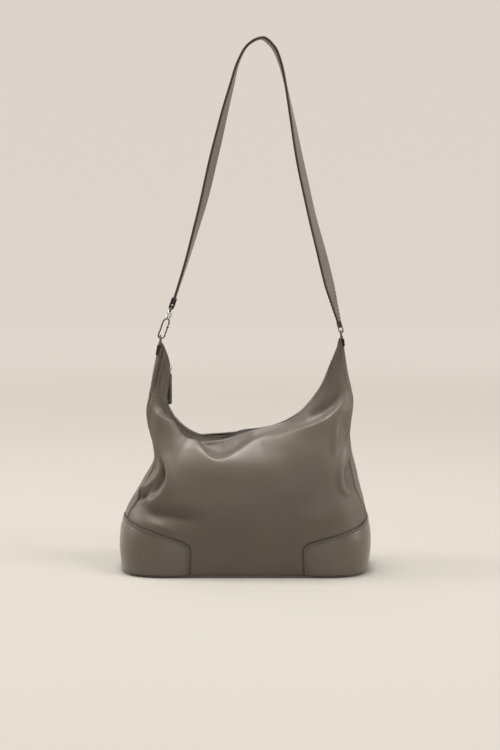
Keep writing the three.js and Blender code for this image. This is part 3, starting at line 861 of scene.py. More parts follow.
class Teeth(AlongPath):
    """Rows of zip teeth along a path."""

    def __init__(self) -> None:
        """Builds the tree: one tooth on each evenly spaced point."""
        super().__init__("zip_teeth", ["Pitch"])
        g = self.graph
        spots = self.spots()
        along = g.node("FunctionNodeAlignRotationToVector", {"axis": "X"}, {"Vector": spots["Tangent"]})
        level = g.node(
            "FunctionNodeAlignRotationToVector",
            {"axis": "Y", "pivot_axis": "X"},
            {"Rotation": along["Rotation"], "Vector": (0.0, 1.0, 0.0)},
        )
        bar = g.node("GeometryNodeMeshCube", None, {"Size": (1.15 * MM, 2.0 * MM, 1.5 * MM)})["Mesh"]
        ball = {"Segments": 8, "Rings": 5, "Radius": 0.95 * MM}
        bead = g.node("GeometryNodeMeshUVSphere", None, ball)["Mesh"]
        tooth = g.node("GeometryNodeJoinGeometry", None, {"Geometry": bar})
        g.feed(tooth.node, "Geometry", bead)
        put = g.node(
            "GeometryNodeInstanceOnPoints",
            None,
            {"Points": spots["Points"], "Instance": tooth["Geometry"], "Rotation": level["Rotation"]},
        )["Instances"]
        self.end(put)

    def build(self, name: str, line: Array, pitch: float, finish: Metal) -> bpy.types.Object:
        """Makes one row of teeth along a list of points."""
        return smooth(self.run(path_object(name, [line], False), finish, Pitch=pitch), 50)


def path_object(name: str, lines: Sequence[Array], closed: bool) -> bpy.types.Object:
    """Makes an object of loose edges along lists of points."""
    points: list[list[float]] = []
    edges: list[tuple[int, int]] = []
    for line in lines:
        start = len(points)
        points += np.asarray(line, float).tolist()
        edges += [(k, k + 1) for k in range(start, len(points) - 1)]
        if closed:
            edges.append((len(points) - 1, start))
    mesh = bpy.data.meshes.new(name)
    mesh.from_pydata(points, edges, [])
    made = bpy.data.objects.new(name, mesh)
    bpy.context.scene.collection.objects.link(made)
    return made


# ------------------------------------------------------------------ the skin's shape


@dataclass(frozen=True)
class Fold:
    """A ridge or hollow in the skin, along a line seen from the front, in millimetres."""

    line: tuple[Pair, ...]
    heights: tuple[float, ...]
    left: float
    right: float
    power: float = 2.0

    def at(self, points: Array) -> Array:
        """How far the fold lifts the skin at these points, in metres."""
        path = Path([(x * MM, z * MM, 0) for x, z in self.line], fine=4)
        line = path.samples[:, :2]
        start, step = line[:-1], np.diff(line, axis=0)
        square = np.maximum((step * step).sum(1), 1e-12)
        every = points[..., (0, 2)].reshape(-1, 2)
        reach = 3.2 * max(self.left, self.right) * MM
        close = np.all((every > line.min(0) - reach) & (every < line.max(0) + reach), axis=1)
        total = np.zeros(len(every))
        flat = every[close][:, None]
        share = np.clip(((flat - start) * step).sum(-1) / square, 0, 1)
        gap = flat - (start + share[..., None] * step)
        away = np.linalg.norm(gap, axis=-1)
        best = away.argmin(1)
        pick = np.arange(len(best))
        side = step[best, 0] * gap[pick, best, 1] - step[best, 1] * gap[pick, best, 0]
        wide = np.where(side > 0, self.left, self.right) * MM
        along = path.lengths[best] + share[pick, best] * np.sqrt(square[best])
        stop = np.linspace(0, 1, len(self.heights))
        height = np.interp(along / path.length, stop, self.heights)
        total[close] = height * MM * np.exp(-((away[pick, best] / wide) ** self.power))
        return total.reshape(points.shape[:-1])


FRONT_FOLDS = (
    # the shoulder's ridge: from the left horn down to the low point, then up and away to the right
    Fold(((-146, 262), (-138, 245), (-126, 229), (-110, 216), (-94, 205), (-77, 191), (-62, 176), (-50, 166),
          (-39, 163), (-24, 167), (-8, 178), (10, 189), (34, 199), (66, 209)),
         (0, 5, 8.5, 10, 10.5, 10.5, 10, 8.5, 7, 5.5, 4.5, 3, 1.4, 0), 4.6, 20, 1.6),
    # the sunk top behind the ridge
    Fold(((-132, 250), (-118, 232), (-103, 219), (-88, 206)), (0, -3, -3.5, 0), 6, 6),
    Fold(((-84, 196), (-60, 185), (-38, 181), (-14, 186), (12, 201)), (0, -4, -5.5, -4, 0), 8, 8),
    # the right shoulder's long fold
    Fold(((155, 300), (151, 278), (146, 259), (137, 241), (125, 228), (109, 217), (87, 209), (58, 200),
          (22, 190)), (0, 3, 6, 8, 9, 8, 6, 3.5, 0), 17, 6, 1.7),
    Fold(((140, 272), (131, 250), (112, 235), (88, 225)), (0, -3.5, -3.5, 0), 7, 7),
    # upright folds and the ear by the right seam
    Fold(((153, 262), (149, 237), (147, 215), (145, 190)), (0, 3.2, 3.2, 0), 4, 4),
    Fold(((134, 228), (131, 200), (128, 172)), (0, 2.8, 0), 5, 6),
    Fold(((153, 200), (145, 176), (138, 158), (136, 142), (140, 127), (151, 114)),
         (0, 3.5, 5.2, 5.2, 3.5, 0), 5, 4),
    Fold(((152, 170), (147, 150), (149, 133), (158, 116)), (0, -4.6, -4.6, 0), 4.5, 4.5),
    # the waist's two folds above the left boot, with a trough between them
    Fold(((-137, 222), (-128, 194), (-120, 173), (-113, 158), (-110, 141), (-115, 127), (-126, 114),
          (-142, 103)), (0, 3.5, 6, 7.5, 7.5, 6, 4, 0), 11, 4.5, 1.7),
    Fold(((-132, 190), (-123, 164), (-124, 146), (-139, 128), (-156, 115), (-170, 100)),
         (0, 3.5, 4.6, 4.6, 3.5, 0), 3.5, 5),
    Fold(((-128, 190), (-118, 162), (-117, 143), (-128, 124), (-142, 112)), (0, -4, -5, -4, 0), 3.5, 3.5),
    Fold(((-136, 123), (-148, 113), (-160, 104)), (0, -6.5, 0), 2.2, 2.2, 1.6),
    # the hollow above the left boot
    Fold(((-168, 101), (-140, 95), (-104, 91), (-50, 84)), (0, -7.5, -5.5, 0), 10, 11),
    Fold(((-150, 80), (-118, 73), (-92, 64)), (0, 2, 0), 5, 6),
    # the left horn's creases
    Fold(((-127, 314), (-134, 288), (-138, 265), (-134, 250), (-126, 236), (-118, 222)),
         (0, 2.4, 3.2, 3.2, 2, 0), 4, 3.5),
    Fold(((-121, 304), (-126, 272), (-124, 246)), (0, -3, 0), 5, 5),
    # the right horn
    Fold(((139, 330), (135, 306), (130, 285)), (0, -2.4, 0), 6, 6),
    # the quiet middle
    Fold(((-60, 140), (-20, 150), (40, 154), (100, 158)), (0, 1.4, 1.8, 0), 16, 20),
    Fold(((150, 100), (110, 92), (60, 84)), (0, 1.8, 0), 12, 14),
)

BACK_FOLDS = (
    Fold(((-141, 250), (-124, 226), (-98, 205), (-66, 180), (-30, 168), (10, 176), (40, 188)),
         (0, 5, 7, 7.5, 6, 4, 0), 7, 17, 1.7),
    Fold(((152, 290), (146, 262), (132, 238), (104, 216), (66, 202), (30, 190)),
         (0, 4, 6, 5, 3, 0), 15, 7, 1.7),
    Fold(((-128, 190), (-116, 166), (-112, 142), (-120, 122), (-136, 106)), (0, 4, 4.5, 3.5, 0), 9, 5),
    Fold(((140, 196), (133, 164), (134, 138), (146, 116)), (0, 3.4, 3.4, 0), 5, 8),
    Fold(((-160, 100), (-120, 93), (-70, 87)), (0, -4.5, 0), 10, 10),
    Fold(((158, 104), (120, 96), (78, 88)), (0, -3.5, 0), 10, 11),
    Fold(((-70, 150), (-10, 142), (60, 152)), (0, 2.2, 0), 15, 18),
    Fold(((-50, 120), (10, 108), (70, 116)), (0, -1.8, 0), 16, 16),
)


@dataclass(frozen=True)
class BootLine:
    """Where a boot's edge runs, seen from the front, in millimetres from the bag's middle."""

    side: Side
    inner: float
    end: float
    slope: tuple[Pair, ...]

    def top(self) -> Array:
        """The top edge, from the corner out to the bag's end."""
        points = [
            (self.inner - 1.4, 45.2), (self.inner + 5, 50), *self.slope, (180, self.end), (190, self.end),
            (230, self.end),
        ]
        return Path([(x * MM, z * MM, 0) for x, z in points], fine=8).samples[:, :2]

    def foot(self) -> Array:
        """The inner edge, from below the base up to the corner."""
        points = [(self.inner, -20), (self.inner - 2.2, 24), (self.inner - 3, 39), (self.inner - 1.4, 45.2)]
        return Path([(x * MM, z * MM, 0) for x, z in points], fine=8).samples[:, :2]

    def away(self, points: Array) -> Array:
        """How far points are outside the boot, in metres, and less than 0 inside it."""
        line = np.concatenate([self.foot(), self.top()[1:]])
        start, step = line[:-1], np.diff(line, axis=0)
        flat = points[..., (0, 2)].reshape(-1, 1, 2) * (self.side.value, 1)
        square = np.maximum((step * step).sum(1), 1e-14)
        share = np.clip(((flat - start) * step).sum(-1) / square, 0, 1)
        gap = np.linalg.norm(flat - (start + share[..., None] * step), axis=-1).min(1)
        x, z = flat[:, 0, 0], flat[:, 0, 1]
        roof = np.interp(x, self.top()[:, 0], self.top()[:, 1])
        door = np.interp(z, self.foot()[:, 1], self.foot()[:, 0])
        inside = (z < roof) & (x > door) & (x > (self.inner - 3.2) * MM)
        return np.where(inside, -gap, gap).reshape(points.shape[:-1])


BOOT_LINES = (
    BootLine(Side.RIGHT, 87, 81, ((122, 58.5), (155, 67.5), (167, 72), (174.5, 77.5))),
    BootLine(Side.LEFT, 82, 80, ((118, 61.5), (150, 70.5), (163, 74.5), (173, 78.5))),
)


class Skin:
    """The bag's leather skin: a smooth surface through the ribs, with folds, seams and edges."""

    def __init__(self) -> None:
        """Mirrors the ribs past both ends, so that the surface is smooth there."""
        front = np.array(RIBS, float) * MM
        mirror = front * (1, -1, 1)
        self.ribs = np.concatenate([mirror[2:0:-1], front, mirror[-2:-4:-1]])
        self.back = self.ribs.copy()
        for rib, rise in BACK_RISE.items():
            self.back[rib + 2, LAST_ROW, 2] += rise * MM
            self.back[rib + 2, LAST_ROW - 1, 2] += rise * 0.5 * MM

    def raw(self, rib: Array, row: Array, back: Array | bool = False) -> Array:
        """Points at places counted in ribs and rows, on the front's side."""
        rib, row, back = np.broadcast_arrays(np.asarray(rib, float), np.asarray(row, float), back)
        i = np.clip(np.floor(rib), -1, LAST_RIB).astype(int)
        j = np.clip(np.floor(row), 0, LAST_ROW - 1).astype(int)
        by_rib, by_row = spline_weights(rib - i), spline_weights(row - j)
        total = np.zeros((*rib.shape, 3))
        for m in range(4):
            at_rib = np.clip(i + m - 1, -2, LAST_RIB + 2) + 2
            for n in range(4):
                at_row = np.clip(j + n - 1, 0, LAST_ROW)
                here = np.where(back[..., None], self.back[at_rib, at_row], self.ribs[at_rib, at_row])
                total += (by_rib[..., m] * by_row[..., n])[..., None] * here
        return total

    def plain(self, u: Array, v: Array) -> tuple[Array, Array, Array]:
        """The surface without its folds.

        Args:
            u: Round the bag: 0 at the right end, 1 at the left end, less than 0 on the back.
            v: 0 at the base, 1 at the mouth.

        Returns:
            Points, unit normals outwards, and metres per rib at each point.
        """
        u, v = np.broadcast_arrays(np.asarray(u, float), np.asarray(v, float))
        rib, row = np.abs(u) * LAST_RIB, v * LAST_ROW
        step = 0.03
        back = u < 0
        along = self.raw(rib + step, row, back) - self.raw(rib - step, row, back)
        above, below = np.minimum(row + step, LAST_ROW), np.maximum(row - step, 0)
        up = self.raw(rib, above, back) - self.raw(rib, below, back)
        normal = np.cross(up, along)
        normal /= np.maximum(np.linalg.norm(normal, axis=-1, keepdims=True), 1e-12)
        mirror = np.where(u < 0, -1.0, 1.0)[..., None] * (0, 1, 0) + (1, 0, 1)
        pace = np.linalg.norm(along, axis=-1) / (2 * step)
        return self.raw(rib, row, back) * mirror, normal * mirror, pace

    @staticmethod
    def boot_gap(points: Array) -> Array:
        """How far points are outside both boots, in metres."""
        return np.minimum(BOOT_LINES[0].away(points), BOOT_LINES[1].away(points))

    def formed(self, u: Array, v: Array) -> tuple[Array, Array, Array, Array]:
        """The surface with its folds, seams and edges.

        Returns:
            Points, normals of the plain surface, the lift in metres, and how dark each point is painted from
            0 to 1: rubbed edges, and painted shade in the seams' grooves and beside the boots.
        """
        u, v = np.broadcast_arrays(np.asarray(u, float), np.asarray(v, float))
        points, normals, pace = self.plain(u, v)
        reach = smoothstep(0, 1, np.minimum(np.abs(u), 1 - np.abs(u)) * LAST_RIB)
        front = reach * (u > 0)
        back = reach * (u < 0)
        lift = sum(fold.at(points) for fold in FRONT_FOLDS) * front
        lift = lift + sum(fold.at(points) for fold in BACK_FOLDS) * back
        lift = lift + self.ripple(points, 14.0, 1.1 * MM) + self.ripple(points, 42.0, 0.35 * MM)
        gap = self.boot_gap(points)
        lift = lift * smoothstep(0.5 * MM, 16 * MM, gap) * smoothstep(0, 0.12, v + 0.02)
        # taut at the tips of the horns
        lift = lift * (1 - 0.75 * smoothstep(0.94, 1.0, v))
        seam = np.minimum(np.abs(np.abs(u) - SEAM), np.abs(np.abs(u) - (1 - SEAM))) * LAST_RIB * pace
        outside = smoothstep(-1 * MM, 2 * MM, gap)
        groove = np.exp(-((seam / (1.9 * MM)) ** 2)) * outside * (0.25 + 0.75 * smoothstep(0.75, 0.55, v))
        lips = np.exp(-(((seam - 4.5 * MM) / (2.6 * MM)) ** 2)) * outside
        beside = np.exp(-((gap / (1.6 * MM)) ** 2)) * (gap > 0)
        lift = lift - 2.8 * MM * groove + 1.3 * MM * lips - 0.9 * MM * beside - 0.45 * MM * (gap <= 0)
        # the seams' grooves and the strip beside the boots' edges are darkened as painted shade
        wear_and_shade = np.clip(1.15 * groove + 0.9 * beside, 0, 1)
        return points + normals * lift[..., None], normals, lift, wear_and_shade

    @staticmethod
    def ripple(points: Array, scale: float, height: float) -> Array:
        """Gentle unevenness of the leather."""
        flat = points.reshape(-1, 3) * scale
        values = [noise.noise((x + 3.7, y, z)) for x, y, z in flat.tolist()]
        return np.array(values).reshape(points.shape[:-1]) * height


def all_round(count: int) -> Array:
    """Even places round the whole bag: along its front to the left end, and back along its back."""
    front = np.linspace(0, 1, count // 2, endpoint=False)
    back = -np.linspace(1, 0, count // 2, endpoint=False)
    return np.concatenate([front, back])


@dataclass
class BodyShell:
    """The soft leather body: front, back and the two gussets."""

    skin: Skin
    wall: float = 2.2 * MM
    panel_columns: int = 250
    rows: int = 150
    gusset_columns: int = 46

    def _part(self, node: str, u: Array, rim: float) -> None:
        """Makes and places the part of the skin at these places round the bag.

        Args:
            node: The frame's node that it stands for.
            u: The places of its columns.
            rim: How dark its top edge is rubbed.
        """
        v = np.linspace(0, 1, self.rows + 1)[None, :] ** 0.96
        outer, normals, lift, wear_and_shade = self.skin.formed(u[:, None], v)
        wear_and_shade = np.maximum(wear_and_shade, smoothstep(0.986, 1.0, v) * rim)
        inner = outer - normals * self.wall
        # the leather reads the lift to paint ridges lighter and hollows darker, as painted highlight and
        # painted shade
        part = shell(f"{node}_leather", outer, inner, painted_relief_light=np.tanh(lift / (7 * MM)), wear_and_shade=wear_and_shade)
        placed(dressed(bevelled(part, 0.6 * MM), TAUPE, TAUPE), "bag", "body_leather", node)

    def build(self) -> None:
        """Makes and places the four pieces."""
        for face in Face:
            u = np.linspace(SEAM, 1 - SEAM, self.panel_columns + 1) * -face.value
            self._part(f"{face.name.lower()}_panel", u, 0.5)
        for side in Side:
            u = np.linspace(-SEAM, SEAM, self.gusset_columns + 1)
            if side is Side.LEFT:
                u = np.where(u < 0, -1 - u, 1 - u)
            self._part(f"{side.name.lower()}_gusset", u, 0.0)


@dataclass
class Boots:
    """The firm leather corners, each wrapped round one end of the bag."""

    skin: Skin
    stitches: Stitches
    proud: float = 1.1 * MM
    columns: int = 150
    rows: int = 44
    stitch_inset: float = 3.4 * MM

    def _place(self, side: Side, rib: Array, row: Array) -> tuple[Array, Array]:
        """Points and normals at ribs counted from the boot's own end, on the front."""
        u = np.asarray(rib, float) / LAST_RIB
        u = u if side is Side.RIGHT else 1 - u
        points, normals, _ = self.skin.plain(u, np.asarray(row, float) / LAST_ROW)
        return points, normals

    @staticmethod
    def _solve(low: float, high: float, above: Callable[[Array], Array], count: int) -> Array:
        """Halves ranges until each closes on the place where above turns true."""
        lows, highs = np.full(count, float(low)), np.full(count, float(high))
        for _ in range(36):
            middle = (lows + highs) / 2
            past = above(middle)
            lows, highs = np.where(past, lows, middle), np.where(past, middle, highs)
        return (lows + highs) / 2

    def _grid(self, line: BootLine) -> tuple[Array, Array]:
        """The boot's front half: ribs from its end and rows, over columns and rows of a grid."""
        roof, door = line.top(), line.foot()
        sign = line.side.value

        def rows_at(ribs: Array) -> Array:
            """The rows where the top edge crosses these ribs."""

            def over(rows: Array) -> Array:
                """Whether those rows are above the edge."""
                p = self._place(line.side, ribs, rows)[0]
                return p[:, 2] > np.interp(p[:, 0] * sign, roof[:, 0], roof[:, 1])

            return self._solve(0, 3, over, len(ribs))

        def ribs_at(rows: Array) -> Array:
            """The ribs where the inner edge crosses these rows."""

            def past(ribs: Array) -> Array:
                """Whether those ribs are beyond the edge."""
                p = self._place(line.side, ribs, rows)[0]
                return p[:, 0] * sign < np.interp(p[:, 2], door[:, 1], door[:, 0])

            return self._solve(2, 6, past, len(rows))

        def beyond(ribs: Array) -> Array:
            """Whether the top edge at those ribs is past the corner."""
            return self._place(line.side, ribs, rows_at(ribs))[0][:, 0] * sign < roof[0, 0]

        corner = float(self._solve(2, 6, beyond, 1)[0])
        c = np.linspace(0, 1, self.columns // 2 + 1)
        c = 1 - (1 - c) ** 1.15
        r = np.linspace(0, 1, self.rows + 1)
        top_row = rows_at(c * corner)
        side_rib = ribs_at(r * top_row[-1])
        bottom = np.stack([c * side_rib[0], 0 * c], -1)
        top = np.stack([c * corner, top_row], -1)
        left = np.stack([0 * r, r * top_row[0]], -1)
        right = np.stack([side_rib, r * top_row[-1]], -1)
        right[-1] = top[-1]
        cc, rr = c[:, None, None], r[None, :, None]
        blend = (1 - rr) * bottom[:, None] + rr * top[:, None] + (1 - cc) * left[None] + cc * right[None]
        blend -= (1 - cc) * (1 - rr) * bottom[0] + cc * (1 - rr) * bottom[-1]
        blend -= (1 - cc) * rr * top[0] + cc * rr * top[-1]
        return blend[..., 0], blend[..., 1]

    def build(self) -> None:
        """Makes and places both boots and their stitching."""
        rows: list[Array] = []
        for line in BOOT_LINES:
            name = line.side.name.lower()
            rib, row = self._grid(line)
            points, normals = self._place(line.side, rib, row)
            points = np.concatenate([points[::-1], points[1:] * (1, -1, 1)])
            normals = np.concatenate([normals[::-1], normals[1:] * (1, -1, 1)])
            away = -line.away(points)
            edge = np.minimum(away, 12 * MM) / (12 * MM)
            # the edge is pressed down by its stitching, and the leather swells beyond it
            press = -0.5 * np.exp(-(((away - self.stitch_inset) / (1.3 * MM)) ** 2))
            swell = 1.0 * smoothstep(4 * MM, 20 * MM, away)
            outer = points + normals * (self.proud + (press + swell) * MM)[..., None]
            wear_and_shade = np.clip(1 - away / (0.9 * MM), 0, 1) * 0.9
            inner = points + normals * 0.12 * MM
            # the boot's colour is painted darker near its edges and paler on its swell, as painted shade and
            # painted highlight
            boot = shell(f"{name}_boot_leather", outer, inner, painted_relief_light=(edge - 0.6) * 0.5, wear_and_shade=wear_and_shade)
            dressed(bevelled(boot, 0.35 * MM), BOOT, EDGE)
            placed(boot, "bag", "boot_leather", f"{name}_boot")
            rows += self._stitch_rows(line, points, normals, away)
        thread = self.stitches.build("boot_stitching", rows, 3.3, 2.5, 0.8)
        placed(thread, "bag", "boot_leather")

    def _stitch_rows(self, line: BootLine, points: Array, normals: Array, away: Array) -> list[Array]:
        """The line a few millimetres inside the boot's edge, as one run."""
        lifted = points + normals * (self.proud - 0.1 * MM)
        columns, rows = away.shape
        run: list[Array] = []
        inset = self.stitch_inset
        middle = rows // 2

        def crossing(values: Array, track: Array) -> Array | None:
            """Where a run of distances first passes the inset, from its outer end."""
            for k in range(len(values) - 1):
                if values[k] < inset <= values[k + 1]:
                    share = (inset - values[k]) / (values[k + 1] - values[k])
                    return track[k] + (track[k + 1] - track[k]) * share
            return None

        def up_edge(first: bool) -> list[Array]:
            """The stitches beside one upright edge, from the base to the corner."""
            found = []
            for r in range(1, rows - 1):
                values = away[:, r] if first else away[::-1, r]
                track = lifted[:, r] if first else lifted[::-1, r]
                hit = crossing(values[: columns // 3], track[: columns // 3])
                if hit is not None and rows - 1 - r > 3:
                    found.append(hit)
            return found

        run += up_edge(True)
        for c in range(1, columns - 1):
            hit = crossing(away[c, ::-1][: rows - middle], lifted[c, ::-1][: rows - middle])
            if hit is not None and line.away(hit[None])[0] < -inset * 0.9:
                run.append(hit)
        run += up_edge(False)[::-1]
        return [np.array(run)]


@dataclass
class Base:
    """The flat base panel and the stiff board on top of it."""

    skin: Skin
    around: int = 120

    def _loop(self, inset: float, height: float) -> Array:
        """The base's outline, moved in by some millimetres, at a height in millimetres."""
        u = all_round(self.around)
        points, normals, _ = self.skin.plain(u, np.zeros_like(u))
        flat = normals * (1, 1, 0)
        flat /= np.linalg.norm(flat, axis=-1, keepdims=True)
        moved = points - flat * inset * MM
        moved[:, 2] = height * MM
        return moved

    def _plate(self, name: str, profile: Sequence[Pair]) -> bpy.types.Object:
        """Makes a plate from insets and heights, from its underside round to its top."""
        loops = [self._loop(inset, height) for inset, height in profile]
        points = np.concatenate([*loops, [[0, 0, profile[0][1] * MM]], [[0, 0, profile[-1][1] * MM]]])
        n, last = self.around, len(loops) - 1
        faces: list[list[int]] = []
        for s in range(n):
            t = (s + 1) % n
            for k in range(last):
                faces.append([k * n + s, k * n + t, (k + 1) * n + t, (k + 1) * n + s])
            faces.append([len(loops) * n, s, t])
            faces.append([len(loops) * n + 1, last * n + t, last * n + s])
        made = new_object(name, points, faces)
        outwards(made)
        return smooth(made, 60)

    def build(self) -> None:
        """Makes and places the base and its board."""
        base = self._plate(
            "base_leather",
            ((60, 0.1), (20, 0), (2.5, 0), (0.8, 0.25), (-0.4, 1.2), (-0.4, 2.2), (0.4, 3.0), (3, 3.1),
             (40, 3.1)),
        )
        placed(dressed(base, BOOT), "bag", "boot_leather", "base_panel")
        board = self._plate(
            "base_stiffener",
            ((60, 3.4), (5.2, 3.4), (4.6, 3.9), (4.6, 5.3), (5.2, 5.8), (60, 5.8)),
        )
        placed(dressed(board, BOARD), "bag", "stiff_board", "base_board")


# ------------------------------------------------------------------ inside


def with_cloth_map(piece: bpy.types.Object, coordinates: Array) -> None:
    """Gives a piece a UV map named cloth, from two metres for each point."""
    layer = piece.data.uv_layers.new(name="cloth")
    corner = np.zeros(len(piece.data.loops), np.int32)
    piece.data.loops.foreach_get("vertex_index", corner)
    layer.data.foreach_set("uv", np.asarray(coordinates, np.float32)[corner].ravel())


@dataclass
class Inside:
    """The lining, its pocket and the facings under the mouth's edges."""

    skin: Skin
    depth: float = 4.1 * MM
    columns: int = 160
    rows: int = 60

    def _sunk(self, u: Array, v: Array) -> tuple[Array, Array, Array]:
        """Points and normals of the plain surface, and how far the skin is pressed in there."""
        points, normals, _ = self.skin.plain(u, v)
        lift = self.skin.formed(u, v)[2]
        return points, normals, np.minimum(lift, 0)

    def _cloth(
        self, name: str, u: Array, v: Array, depth: float, wrap: bool, thick: float = 0.7 * MM
    ) -> bpy.types.Object:
        """Makes a sheet that follows the skin at a depth below it."""
        points, normals, sunk = self._sunk(u, v)
        wave = Skin.ripple(points, 55.0, 1.3 * MM) + 0.7 * MM
        outer = points + normals * (sunk - depth - np.maximum(wave, 0))[..., None]
        inner = outer - normals * thick
        made = shell(name, outer, inner, wrap=wrap)
        flat = np.stack([np.broadcast_to(u, points.shape[:2]) * 0.9, points[..., 2]], -1).reshape(-1, 2)
        with_cloth_map(made, np.concatenate([flat, flat]))
        return smooth(made, 60)

    def build(self) -> None:
        """Makes and places the pieces inside the bag."""
        ring = all_round(self.columns)[:, None]
        v = np.linspace(0.035, 0.86, self.rows)[None, :]
        wall = self._cloth("lining_wall", ring, v, self.depth, True)
        floor = self._floor(ring[:, 0])
        lining = joined("lining_cloth", [wall, floor])
        placed(dressed(lining, LINING, LINING), "bag", "lining_cloth", "lining")
        u = np.linspace(-0.66, -0.38, 60)[:, None]
        v = np.linspace(0.22, 0.56, 36)[None, :]
        pocket = self._cloth("slip_pocket_cloth", u, v, 6.6 * MM, False)
        placed(dressed(pocket, LINING, LINING), "bag", "lining_cloth", "slip_pocket")
        for face in Face:
            start, stop = (0.2, 0.78) if face is Face.FRONT else (-0.2, -0.78)
            u = np.linspace(start, stop, 120)[:, None]
            points, normals, sunk = self._sunk(u, np.linspace(0.87, 0.988, 16)[None, :])
            outer = points + normals * (sunk - 2.9 * MM)[..., None]
            strip = shell(f"{face.name.lower()}_facing_leather", outer, outer - normals * 1.0 * MM)
            dressed(bevelled(strip, 0.3 * MM), TAUPE, EDGE)
            placed(strip, "bag", "body_leather", f"{face.name.lower()}_zip_facing")

    def _floor(self, ring: Array) -> bpy.types.Object:
        """The lining's floor, which meets its wall."""
        points, normals, _ = self.skin.plain(ring, np.full(len(ring), 0.035))
        loops = []
        for share, height in ((1.0, 10.5), (0.97, 7.6), (0.9, 7.0), (0.5, 6.9)):
            loop = (points - normals * 5.2 * MM) * (share, share, 1)
            loop[:, 2] = height * MM
            loops.append(loop)
        outer = np.stack(loops, 1)
        centre = outer - (0, 0, 0.6 * MM)
        made = shell("lining_floor", outer, centre, wrap=True)
        fill = self._disc(outer[:, -1])
        made = joined("lining_floor", [made, fill])
        flat = np.array([v.co[:2] for v in made.data.vertices])
        with_cloth_map(made, flat)
        return smooth(made, 60)

    @staticmethod
    def _disc(loop: Array) -> bpy.types.Object:
        """A thin closed plate inside a loop of points."""
        n = len(loop)
        low = loop - (0, 0, 0.6 * MM)
        centre = np.array([[0, 0, loop[0, 2]], [0, 0, low[0, 2]]])
        points = np.concatenate([loop, low, centre])
        faces = [[2 * n, s, (s + 1) % n] for s in range(n)]
        faces += [[2 * n + 1, n + (s + 1) % n, n + s] for s in range(n)]
        faces += [[s, n + s, n + (s + 1) % n, (s + 1) % n] for s in range(n)]
        made = new_object("lining_disc", points, faces)
        outwards(made)
        return made


# ------------------------------------------------------------------ the zip


